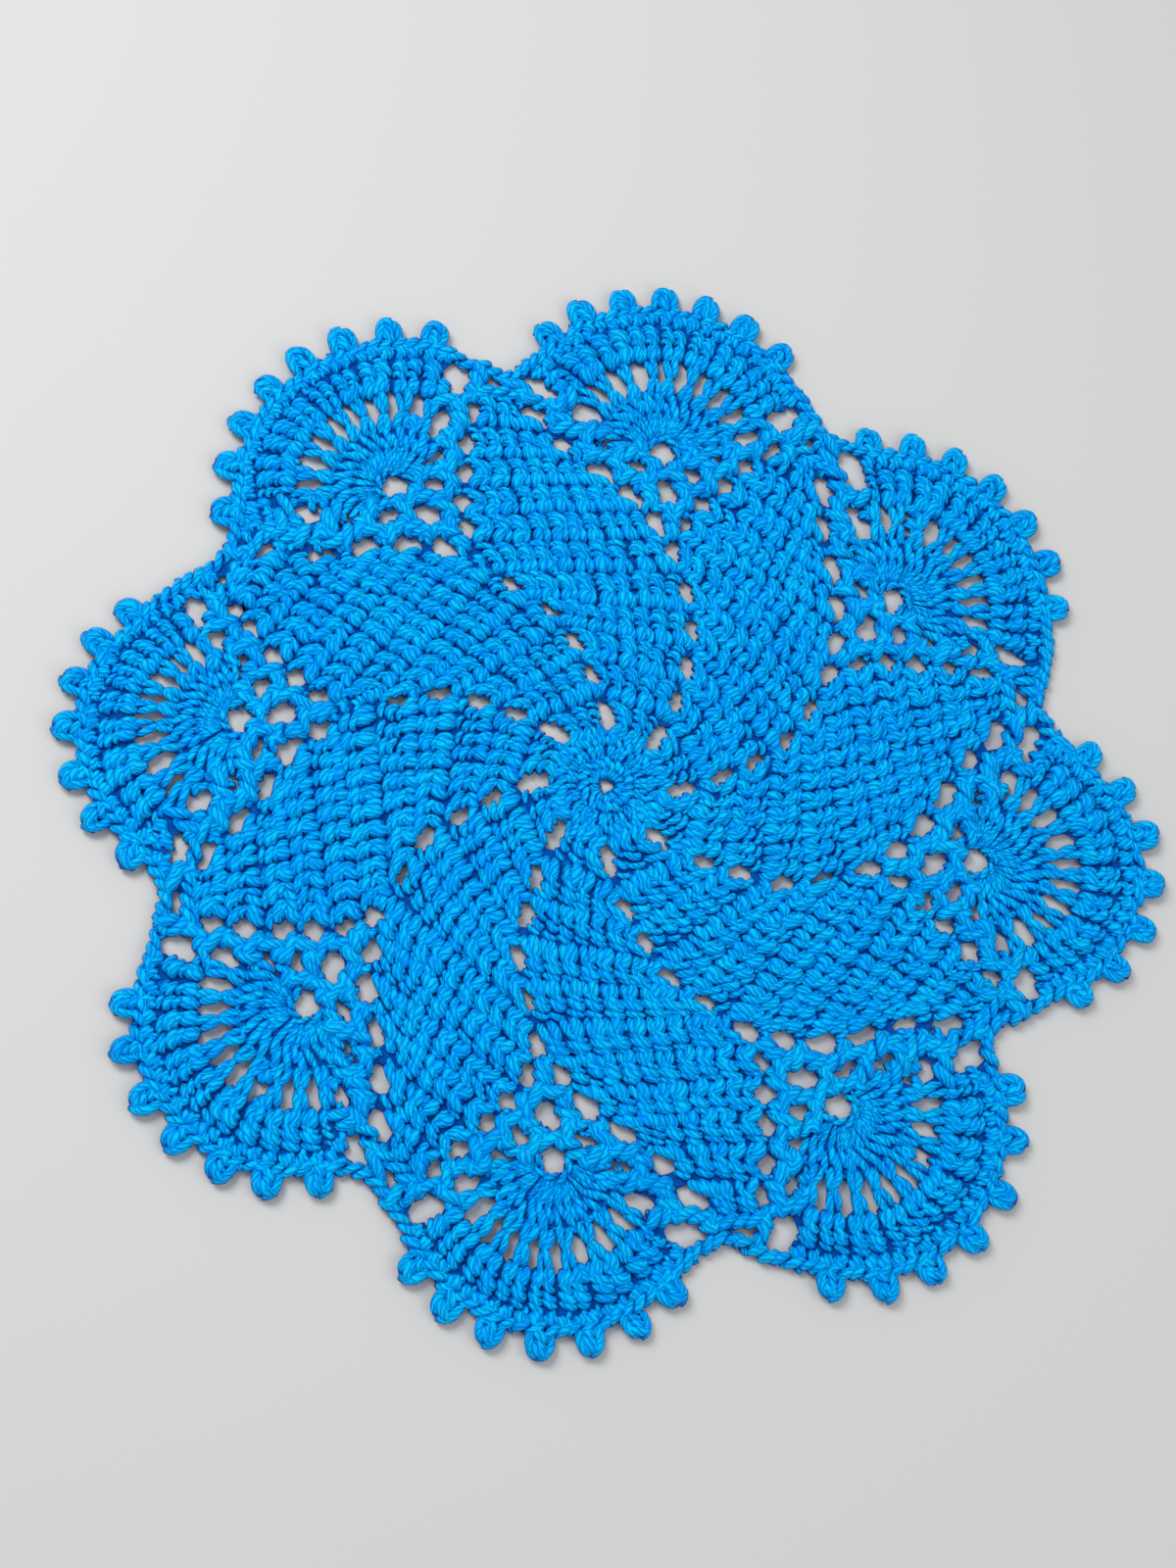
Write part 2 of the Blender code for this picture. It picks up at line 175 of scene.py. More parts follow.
class Stray(NamedTuple):
    """How far one gap of one lobe strays from the chart, and how much larger it is."""

    across: float
    out: float
    swell: float


STRAYS: dict[tuple[int, str], Stray] = {
    (0, "swirl_6"): Stray(-2.5, 0.0, 0.9),
    (0, "swirl_12"): Stray(-3.0, 4.5, 0.8),
    (0, "mesh_12_right"): Stray(-2.5, -1.5, 1.1),
    (0, "mesh_13_right"): Stray(0.5, -2.0, 0.95),
    (1, "mesh_11_right"): Stray(1.5, 2.0, 1.0),
    (2, "mesh_12_left"): Stray(0.0, -3.0, 1.5),
    (2, "mesh_13_left"): Stray(0.0, 2.0, 1.3),
    (2, "mesh_13_right"): Stray(-2.0, 1.0, 1.1),
    (2, "notch"): Stray(-0.5, 2.5, 1.8),
    (3, "mesh_11_left"): Stray(0.0, 0.5, 1.4),
    (4, "mesh_13_right"): Stray(2.0, -0.5, 1.25),
    (6, "mesh_12_left"): Stray(-0.5, 1.0, 1.1),
    (6, "mesh_13_left"): Stray(-2.0, -1.0, 0.75),
    (7, "mesh_13_left"): Stray(-1.0, -2.0, 0.75),
    (7, "next_12"): Stray(-2.0, -2.0, 1.0),
}
AS_CHARTED = Stray(0.0, 0.0, 1.0)


WOBBLE_RATES = (12.9898, 78.233, 37.719)    # radians from one lobe, thing or quality to the next


class Quality(Enum):
    """What is uneven about a gap."""

    ACROSS = 1
    OUT = 2
    SWELL = 3
    LEAN = 4


def wobble(lobe: int, name: str, quality: Quality) -> float:
    """A steady uneven value for one quality of one gap of one lobe.

    Formula: the sine of the lobe's, the gap's and the quality's number, each times its own rate.

    Args:
        lobe: The lobe.
        name: The gap.
        quality: What is uneven about it.

    Returns:
        From -1 to 1.
    """
    by_lobe, by_gap, by_quality = WOBBLE_RATES
    gap = GAP_ORDER[name]
    return math.sin(by_lobe * (lobe + 1) + by_gap * (gap + 1) + by_quality * quality.value)


def polar(radius: Array | float, turn: Array | float) -> Array:
    """Points at a radius and a turn in degrees from +X: radius times (cosine, sine)."""
    angle = np.radians(turn)
    return np.stack(np.broadcast_arrays(radius * np.cos(angle), radius * np.sin(angle)), axis=-1)


@dataclass(frozen=True)
class Chart:
    """The lobe chart, and how the eight lobes pull it. Sizes in millimetres and degrees."""

    lobe_step: float = 45.0
    first_turn: float = 124.0       # direction of the first lobe, from +X towards +Y
    reach: float = 115.5            # hub to the eye of a fan, as charted
    rim: float = 54.0               # eye of a fan to the middle of a picot, as charted
    inner_span: float = 95.0        # the push on the panels fades out at the hub and here
    sag_start: float = 12.0         # the pull on the left side of a fan starts this far left
    sag_full: float = 30.0          # and is whole this far left
    gap_shift: float = 0.45         # how far a gap strays from its charted place
    gap_swell: float = 0.07         # share by which it is larger or smaller
    gap_lean: float = 5.0           # degrees by which its length leans
    picot_sink: float = 3.0         # the edge lies this far inside the middles of the picots
    picot_radius: float = 4.3
    picot_sweep: float = 112.0      # half the arc of a picot that stands clear of the edge
    picot_points: int = 5           # places along that arc

    def eased(self, position: Array | float, column: str) -> Array:
        """Read a column of LOBES between two lobes.

        Formula: first + (second - first) * (3s^2 - 2s^3), where s is the share of the way.

        Args:
            position: Lobe numbers, whole or between two lobes.
            column: The name of a field of Lobe.

        Returns:
            The eased values, one for each position.
        """
        low = np.floor(position).astype(int)
        share = position - low
        share = share * share * (3 - 2 * share)
        values = np.array([getattr(row, column) for row in LOBES])
        first, second = values[low % len(LOBES)], values[(low + 1) % len(LOBES)]
        return first + (second - first) * share

    def heading(self, position: Array | float) -> Array:
        """The direction of a lobe, or of a place between two, in degrees from +X."""
        return self.first_turn - self.lobe_step * position + self.eased(position, "drift")

    def place(self, lobe: int, across: Array | float, out: Array | float) -> Array:
        """Turn chart places into points of the mat.

        Formula: the chart's polar radius is scaled by the lobe's reach and pushed by its inner
        push, which fades at the hub and at the inner span, and its angle follows the headings.

        Args:
            lobe: The lobe whose chart it is.
            across: Millimetres to the lobe's right.
            out: Millimetres from the hub along the lobe.

        Returns:
            Points in millimetres from the hub, with x and y on the last axis.
        """
        across, out = np.asarray(across, float), np.asarray(out, float)
        share = np.clip((-across - self.sag_start) / (self.sag_full - self.sag_start), 0, 1)
        out = out + np.where(out > self.inner_span, LOBES[lobe % len(LOBES)].sag * share, 0)
        position = lobe + np.degrees(np.arctan2(across, out)) / self.lobe_step
        radius = np.hypot(across, out)
        fade = np.sin(np.pi * np.minimum(1, radius / self.inner_span)) ** 2
        pulled = radius * self.eased(position, "reach") / self.reach
        return polar(pulled + self.eased(position, "inner") * fade, self.heading(position))

    def rim_radius(self, lobe: int, turn: Array | float) -> Array:
        """Eye to the middle of a picot.

        Formula: a parabola over the turn, through the rim's three values in the lobe's row.

        Args:
            lobe: The lobe.
            turn: The turn round the eye.

        Returns:
            Millimetres, one value for each turn.
        """
        row = LOBES[lobe]
        share = np.clip((row.first - turn) / (row.first - row.last), 0, 1)
        straight = row.rim_first + (row.rim_last - row.rim_first) * share
        bend = row.rim_mid - (row.rim_first + row.rim_last) / 2
        return straight + 4 * share * (1 - share) * bend

    def fan_place(self, lobe: int, radius: Array | float, turn: Array | float) -> Array:
        """Points at a radius and turn round a lobe's eye, 0 to its right and 90 outwards."""
        return self.place(lobe, 0, self.reach) + polar(radius, turn + self.heading(lobe) - 90)

    def fan_chart(self, lobe: int, radius: Array | float, turn: Array | float) -> Array:
        """The same, for radii that the lobe's rim swells or shrinks."""
        return self.fan_place(lobe, radius * self.rim_radius(lobe, turn) / self.rim, turn)

    def gap_middle(self, lobe: int, name: str) -> Array:
        """The middle of a gap.

        Args:
            lobe: The lobe, which is counted on past the last one.
            name: The gap's name in the chart.

        Returns:
            The point in millimetres from the hub.
        """
        lobe %= len(LOBES)
        gap, stray = GAPS[name], STRAYS.get((lobe, name), AS_CHARTED)
        across = gap.across + stray.across + self.gap_shift * wobble(lobe, name, Quality.ACROSS)
        out = gap.out + stray.out + self.gap_shift * wobble(lobe, name, Quality.OUT)
        if name not in FAN_SIDE_GAPS:
            return self.place(lobe, across, out)
        rise = out - self.reach
        return self.fan_chart(lobe, math.hypot(across, rise), math.degrees(math.atan2(rise, across)))

    def gap_axes(self, lobe: int, name: str) -> tuple[float, float, Array]:
        """The size and direction of a gap.

        Args:
            lobe: The lobe, which is counted on past the last one.
            name: The gap's name in the chart.

        Returns:
            Half its length, half its width, and the unit vector along its length.
        """
        lobe %= len(LOBES)
        gap, stray = GAPS[name], STRAYS.get((lobe, name), AS_CHARTED)
        swell = stray.swell + self.gap_swell * wobble(lobe, name, Quality.SWELL)
        turn = gap.turn + self.gap_lean * wobble(lobe, name, Quality.LEAN)
        return gap.long * swell / 2, gap.wide * swell / 2, polar(1.0, turn + self.heading(lobe) - 90)

    def picot_turns(self, lobe: int) -> Array:
        """The turns of a lobe's picots round its eye."""
        row = LOBES[lobe]
        return np.linspace(row.first, row.last, row.picots)


CHART = Chart()


@dataclass(frozen=True)
class Edge:
    """The mat's outline between the picots, and the line that its edge cord follows.

    Turns are in degrees round a lobe's eye, 0 to its right and 90 outwards.
    """

    notch_before: float = 164.0     # turn of the notch before the lobe
    shoulder_turn: float = 148.0    # a first picot short of this turn leaves a shoulder
    shoulder_rise: float = 1.0      # which stands this far outside the edge between picots
    side_step: float = 9.0          # turn from the last picot to the start of the side
    notch_after: float = 22.0       # turn at which the side meets the notch after the lobe
    side_flare: float = 2.0         # the side spreads by this much before it meets the notch

    def lobe_line(self, lobe: int, inset: float) -> Array:
        """The edge of one lobe under its picots, from its first one to the notch after it.

        Args:
            lobe: The lobe.
            inset: Millimetres that the line lies inside the outline.

        Returns:
            Points in millimetres from the hub. The last one is the notch after the lobe, and
            the one before it is where the lobe's side ends.
        """
        row = LOBES[lobe]
        turns = CHART.picot_turns(lobe)
        sink = CHART.picot_sink + inset
        points = []
        if row.first < self.shoulder_turn:
            turn = (row.first + self.notch_before) / 2
            radius = CHART.rim_radius(lobe, turn) - sink + self.shoulder_rise
            points.append(CHART.fan_place(lobe, radius, turn))
        halves = np.sort(np.concatenate([turns, (turns[1:] + turns[:-1]) / 2]))[::-1]
        points += list(CHART.fan_place(lobe, CHART.rim_radius(lobe, halves) - sink, halves))
        start = row.last - self.side_step
        side = (CHART.rim_radius(lobe, start) - CHART.picot_sink + row.side) / 2 - inset
        points.append(CHART.fan_place(lobe, side, start))
        points.append(CHART.fan_place(lobe, row.side - inset, (start + self.notch_after) / 2))
        points.append(CHART.fan_place(lobe, row.side + self.side_flare - inset, self.notch_after))
        points.append(polar(row.dip - inset, CHART.heading(lobe + 0.5)))
        return np.array(points)

    def box_middle(self) -> Array:
        """The middle of the outline's box, which is where the row frame has its origin.

        Returns:
            The point in millimetres from the hub.
        """
        points = [self.lobe_line(lobe, 0.0) for lobe in range(len(LOBES))]
        for lobe in range(len(LOBES)):
            turns = CHART.picot_turns(lobe)
            middles = CHART.fan_place(lobe, CHART.rim_radius(lobe, turns), turns)
            clear = np.linspace(CHART.picot_sweep, -CHART.picot_sweep, CHART.picot_points)
            around = turns[:, None] + CHART.heading(lobe) - 90 + clear
            points.append((middles[:, None] + polar(CHART.picot_radius, around)).reshape(-1, 2))
        every = np.concatenate(points)
        return (every.min(axis=0) + every.max(axis=0)) / 2


EDGE = Edge()
HUB_TO_MIDDLE = EDGE.box_middle()


# ---------------------------------------------------------------- cells: the places of stitches
LEVELS = np.linspace(-0.25, 1.25, 13)     # heights up a cell at which its two sides are known
MIDDLE = len(LEVELS) // 2                 # the level halfway up
FULL_WIDTH = 4.4        # the width in millimetres of a cell in which yarn has its full thickness
CUT = 0.25              # share of each step of a path that is cut off at each of its corners
CUTS = 3                # times that the corners are cut
WHOLE = math.inf        # the link that makes one cell of a whole cord


def cells_between(lines: Array) -> Array:
    """Cells between neighbouring lines.

    Args:
        lines: (count + 1, levels, 2) points, one line for each side of a cell.

    Returns:
        (count, levels, 2, 2) cells: the levels, then left and right, then x and y.
    """
    return np.stack([lines[:-1], lines[1:]], axis=2)


def fan_cells(lobe: int, radii: tuple[float, float], turns: Array) -> Array:
    """Cells that stand round a lobe's eye, with a line between them at each turn.

    Formula: the radius runs from the first to the second up the cell, at a fixed turn.

    Args:
        lobe: The lobe.
        radii: Eye to the foot and to the head of the cells.
        turns: The turns between the cells, falling, so that the cells run clockwise.

    Returns:
        The cells.
    """
    radius = radii[0] + (radii[1] - radii[0]) * LEVELS
    return cells_between(CHART.fan_chart(lobe, radius[None, :], turns[:, None]))


def cord_cells(path: Array, width: float, link: float) -> Array:
    """Cells of about one link each along a smooth cord.

    Formula: the path is rounded by corner cutting, measured along its length, and cut into
    equal links, each with sides half the width from the path along its normal. Past its ends
    the path runs straight on.

    Args:
        path: (points, 2) places that the cord passes.
        width: Millimetres across the cord.
        link: About the length of a link in millimetres.

    Returns:
        The cells.
    """
    for _ in range(CUTS):
        near = path[:-1] * (1 - CUT) + path[1:] * CUT
        far = path[:-1] * CUT + path[1:] * (1 - CUT)
        middle = np.stack([near, far], axis=1).reshape(-1, 2)
        path = np.concatenate([path[:1], middle, path[-1:]])
    steps = np.linalg.norm(np.diff(path, axis=0), axis=1)
    path = path[np.concatenate([[True], steps > TOUCHING])]
    length = np.concatenate([[0], np.cumsum(np.linalg.norm(np.diff(path, axis=0), axis=1))])
    along = np.gradient(path, length, axis=0)
    along /= np.linalg.norm(along, axis=1, keepdims=True)
    count = max(1, round(length[-1] / link))
    spots = (np.arange(count)[:, None] + LEVELS) * length[-1] / count
    beyond = (spots - np.clip(spots, 0, length[-1]))[..., None]
    at = np.stack([np.interp(spots, length, path[:, axis]) for axis in (0, 1)], axis=-1)
    run = np.stack([np.interp(spots, length, along[:, axis]) for axis in (0, 1)], axis=-1)
    at = at + beyond * run
    left = np.stack([-run[..., 1], run[..., 0]], axis=-1) * width / 2
    return np.stack([at + left, at - left], axis=2)


def block_cells(middles: Array, up: Array, width: float, height: float) -> Array:
    """Upright oblong cells, one round each middle.

    Args:
        middles: (count, 2) places.
        up: (count, 2) unit vectors from a cell's foot to its head.
        width: Millimetres across a cell.
        height: Millimetres up a cell.

    Returns:
        The cells.
    """
    at = middles[:, None] + up[:, None] * ((LEVELS - LEVELS[MIDDLE])[:, None] * height)
    left = np.stack([-up[:, 1], up[:, 0]], axis=-1)[:, None] * width / 2
    return np.stack([at + left, at - left], axis=2)


# ---------------------------------------------------------------- stitches: loops in a cell
class Stitch(Enum):
    """The loops of each stitch, front side up, as the yarn runs through its cell.

    Each loop is five places: across the cell from -0.5 to 0.5, up the cell from 0 to 1, height
    in millimetres, and half the yarn's thickness in millimetres.
    """

    # two legs, three wraps that slant over them, and the chain behind the top
    DOUBLE = (
        ((-.10, -.04, 1.1, 1.00), (-.16, .07, 2.5, 1.42), (-.16, .20, 2.8, 1.54),
         (-.12, .33, 2.6, 1.40), (-.04, .46, 1.5, 1.00)),
        ((.22, -.03, 1.0, .85), (.29, .09, 2.4, 1.12), (.29, .22, 2.7, 1.20),
         (.22, .34, 2.5, 1.05), (.12, .46, 1.4, .85)),
        ((-.50, .87, 1.4, .70), (-.38, .91, 2.4, .82), (-.08, .89, 2.8, .88),
         (.24, .82, 2.4, .80), (.46, .75, 1.4, .70)),
        ((-.50, .64, 1.7, .90), (-.37, .72, 2.8, 1.18), (-.06, .70, 3.2, 1.34),
         (.24, .60, 2.8, 1.18), (.46, .52, 1.7, .90)),
        ((-.48, .45, 1.6, .74), (-.36, .53, 2.7, .90), (-.08, .50, 3.3, 1.00),
         (.20, .39, 2.9, .90), (.42, .29, 1.6, .74)),
        ((-.58, .98, .8, .75), (-.30, 1.01, 1.0, .80), (.0, 1.02, 1.1, .80),
         (.30, 1.01, 1.0, .80), (.55, .98, .8, .75)),
    )
    # two legs, and two arms that come down from the head to meet them
    POST = (
        ((-.22, .02, 1.4, 1.00), (-.28, .14, 2.7, 1.25), (-.20, .28, 3.1, 1.35),
         (-.02, .42, 2.7, 1.25), (.10, .52, 1.5, 1.00)),
        ((.16, -.02, 1.4, 1.00), (.26, .10, 2.6, 1.20), (.30, .24, 2.9, 1.25),
         (.26, .38, 2.5, 1.20), (.16, .48, 1.5, .95)),
        ((-.30, .92, 1.4, 1.00), (-.30, .80, 2.8, 1.30), (-.16, .65, 3.3, 1.40),
         (.04, .51, 2.8, 1.30), (.12, .42, 1.6, 1.00)),
        ((.08, 1.04, 1.4, 1.00), (.22, .93, 2.7, 1.25), (.30, .77, 3.0, 1.30),
         (.30, .62, 2.6, 1.20), (.22, .50, 1.5, 1.00)),
    )
    # two legs, two arms that slant down over them, and the chain along the top
    WEDGE = (
        ((-.20, -.02, 1.4, .95), (-.24, .14, 2.5, 1.25), (-.25, .32, 3.0, 1.35),
         (-.20, .50, 2.7, 1.25), (-.10, .64, 1.7, .90)),
        ((.22, -.03, 1.4, .95), (.26, .15, 2.4, 1.25), (.26, .33, 2.9, 1.35),
         (.24, .50, 2.6, 1.20), (.22, .62, 1.6, .90)),
        ((-.42, .86, 1.6, 1.00), (-.34, .77, 2.7, 1.40), (-.17, .66, 3.2, 1.60),
         (.0, .56, 2.7, 1.40), (.10, .46, 1.6, 1.00)),
        ((.0, 1.00, 1.6, 1.00), (.13, .93, 2.7, 1.35), (.28, .81, 3.1, 1.50),
         (.38, .69, 2.6, 1.35), (.42, .58, 1.6, 1.00)),
        ((-.58, 1.00, 1.2, .85), (-.30, 1.04, 1.8, 1.00), (.0, 1.03, 1.9, 1.05),
         (.30, .99, 1.8, 1.00), (.55, 1.00, 1.2, .85)),
    )
    # a leg and two arms
    SHORT = (
        ((-.14, -.10, 1.2, .85), (-.26, .12, 2.2, 1.05), (-.24, .34, 2.6, 1.10),
         (-.12, .54, 2.2, 1.00), (.02, .70, 1.5, .85)),
        ((-.40, .86, 1.2, .90), (-.30, .76, 2.4, 1.15), (-.10, .56, 2.9, 1.30),
         (.08, .36, 2.4, 1.15), (.20, .18, 1.3, .90)),
        ((-.18, 1.08, 1.2, .90), (-.05, 1.00, 2.5, 1.20), (.15, .80, 3.0, 1.30),
         (.33, .58, 2.5, 1.15), (.43, .42, 1.3, .90)),
    )
    # a strand in front that slants over the one behind
    TWIST = (
        ((-.36, 1.22, 1.4, .95), (-.30, 1.00, 2.6, 1.30), (.0, .58, 3.2, 1.50),
         (.30, .16, 2.6, 1.30), (.36, -.08, 1.4, .95)),
        ((.36, 1.10, 2.0, .95), (.30, .88, 1.9, 1.15), (.0, .52, 1.6, 1.30),
         (-.30, .16, 1.9, 1.15), (-.36, -.06, 2.0, .95)),
    )
    # the two sides of a loop, and three wraps that close it
    PICOT = (
        ((-.34, -.20, 1.4, 1.00), (-.42, .14, 2.4, 1.14), (-.38, .50, 2.9, 1.20),
         (-.20, .80, 2.8, 1.14), (.06, .90, 1.8, .95)),
        ((.34, -.22, 1.4, 1.00), (.43, .12, 2.4, 1.14), (.40, .46, 2.9, 1.20),
         (.26, .72, 2.6, 1.14), (.04, .80, 1.6, .95)),
        ((-.40, .66, 1.6, .85), (-.20, .74, 3.0, 1.02), (.04, .66, 3.6, 1.10),
         (.24, .50, 3.3, 1.02), (.36, .32, 2.0, .85)),
        ((-.28, .44, 1.6, .85), (-.14, .46, 2.8, 1.02), (.0, .38, 3.2, 1.08),
         (.12, .26, 2.8, 1.02), (.20, .14, 1.6, .85)),
        ((-.26, .14, 1.3, .88), (-.14, .16, 2.5, 1.06), (.0, .07, 3.0, 1.12),
         (.14, -.06, 2.6, 1.06), (.22, -.16, 1.3, .88)),
    )
    # a low leg and two low arms
    TUCKED = (
        ((-.12, .02, 1.0, .90), (-.22, .20, 1.9, 1.15), (-.20, .36, 2.2, 1.20),
         (-.10, .50, 1.9, 1.10), (.02, .62, 1.1, .85)),
        ((-.34, .92, 1.0, .90), (-.24, .84, 2.0, 1.20), (-.04, .66, 2.4, 1.30),
         (.12, .48, 2.0, 1.20), (.22, .34, 1.0, .90)),
        ((.0, 1.06, 1.0, .90), (.12, .98, 2.0, 1.20), (.26, .80, 2.3, 1.25),
         (.36, .62, 1.9, 1.15), (.42, .48, 1.0, .90)),
    )


RINGS = 9           # cross sections along a loop
SIDES = 6           # corners of a cross section
YARN_FLAT = 0.9     # a loop's height as a share of its width
LOWEST = 0.02       # millimetres over the floor that the yarn keeps
PLY = 1.5           # millimetres round the yarn from one ply to the next
FEWEST_PLIES = 3
CREVICE = 0.9       # millimetres round a point in which higher yarn darkens it with painted shade
YARN_MAP = "yarn"   # the map of a loop's length and of the way round it
TONE = "tone"       # an even random value from 0 to 1 for each loop
SHADE_DEPTH = "shade_depth"       # millimetres by which a point lies under the yarn round it, which sets its painted shade


@dataclass(frozen=True)
class Hand:
    """How evenly the mat is worked, and how yarn gives way in a narrow cell.

    Uneven values are standard deviations.
    """

    loop_shift: float = 0.22                    # millimetres by which a place of a loop strays
    stitch_shift: float = 0.25                  # millimetres by which a whole stitch strays
    thickness: float = 0.10                     # share of the yarn's thickness
    height: float = 0.13                        # millimetres of a loop's height
    squeeze: tuple[float, float] = (0.55, 1.3)  # least and most factor on the thickness
    sink: float = 0.4                           # share of its height that goes with its thickness


HAND = Hand()


def sunk_under(points: Array) -> Array:
    """How deep each point lies in the work, which sets the painted shade of crevices.

    Formula: over a grid of squares, the height of the highest point in the point's own square
    and the eight round it, less the point's own height.

    Args:
        points: Places in millimetres, with any leading axes.

    Returns:
        Depths in millimetres.
    """
    square = np.floor(points[..., :2] / CREVICE).astype(int)
    square = square - square.reshape(-1, 2).min(axis=0) + 1
    top = np.zeros(square.reshape(-1, 2).max(axis=0) + 2)
    np.maximum.at(top, (square[..., 0], square[..., 1]), points[..., 2])
    near = [np.roll(top, (i, j), axis=(0, 1)) for i in (-1, 0, 1) for j in (-1, 0, 1)]
    return np.max(near, axis=0)[square[..., 0], square[..., 1]] - points[..., 2]


def spline_weights(count: int, rings: int) -> Array:
    """Weights that carry control places to evenly spaced places on a smooth curve.

    Formula: a Catmull-Rom spline, whose ends run straight on.

    Args:
        count: Control places.
        rings: Places on the curve.

    Returns:
        (rings, count) weights.
    """
    spots = np.linspace(0, count - 1, rings)
    low = np.minimum(spots.astype(int), count - 2)
    t = (spots - low)[:, None]
    cubic = np.concatenate([
        -t ** 3 + 2 * t ** 2 - t,
        3 * t ** 3 - 5 * t ** 2 + 2,
        -3 * t ** 3 + 4 * t ** 2 + t,
        t ** 3 - t ** 2,
    ], axis=1) / 2
    padded = np.zeros((rings, count + 2))
    np.put_along_axis(padded, low[:, None] + np.arange(4), cubic, axis=1)
    weights = padded[:, 1:-1].copy()
    weights[:, 0] += 2 * padded[:, 0]
    weights[:, 1] -= padded[:, 0]
    weights[:, -1] += 2 * padded[:, -1]
    weights[:, -2] -= padded[:, -1]
    return weights


def tube_faces(count: int) -> tuple[Array, Array]:
    """The faces of swept loops, as the numbers of their corners.

    Args:
        count: Loops.

    Returns:
        (loops, rings - 1, sides, 4) corners of the quads along the tubes, and (2, loops, sides)
        corners of the caps at their starts and at their ends.
    """
    row = (np.arange(count)[:, None, None] * RINGS + np.arange(RINGS)[:, None]) * SIDES
    ids = row + np.arange(SIDES)
    after = np.roll(ids, -1, axis=2)
    quads = np.stack([ids[:, :-1], after[:, :-1], after[:, 1:], ids[:, 1:]], axis=-1)
    return quads, np.stack([ids[:, 0, ::-1], ids[:, -1]])


def yarn_map(along: Array, plies: Array) -> Array:
    """The yarn map, corner by corner in the order of the faces.

    Formula: the first value is the length along the loop in millimetres, and the second is the
    share of the way round the yarn, times its plies.

    Args:
        along: (loops, rings) lengths along each loop.
        plies: (loops,) plies of each loop.

    Returns:
        The map's values, two for each corner.
    """
    turn = np.arange(SIDES) / SIDES
    turns = np.stack([turn, turn + 1 / SIDES, turn + 1 / SIDES, turn], axis=-1)
    low, high = along[:, :-1], along[:, 1:]
    lengths = np.stack([low, low, high, high], axis=-1)[:, :, None]
    shape = (len(along), RINGS - 1, SIDES, 4)
    quads = np.stack([
        np.broadcast_to(lengths, shape),
        np.broadcast_to(turns * plies[:, None, None, None], shape),
    ], axis=-1)
    caps = [
        np.stack([np.broadcast_to(length, (len(along), SIDES)), way * plies[:, None]], axis=-1)
        for length, way in ((along[:, :1], turn[::-1]), (along[:, -1:], turn))
    ]
    return np.concatenate([part.ravel() for part in (quads, *caps)])


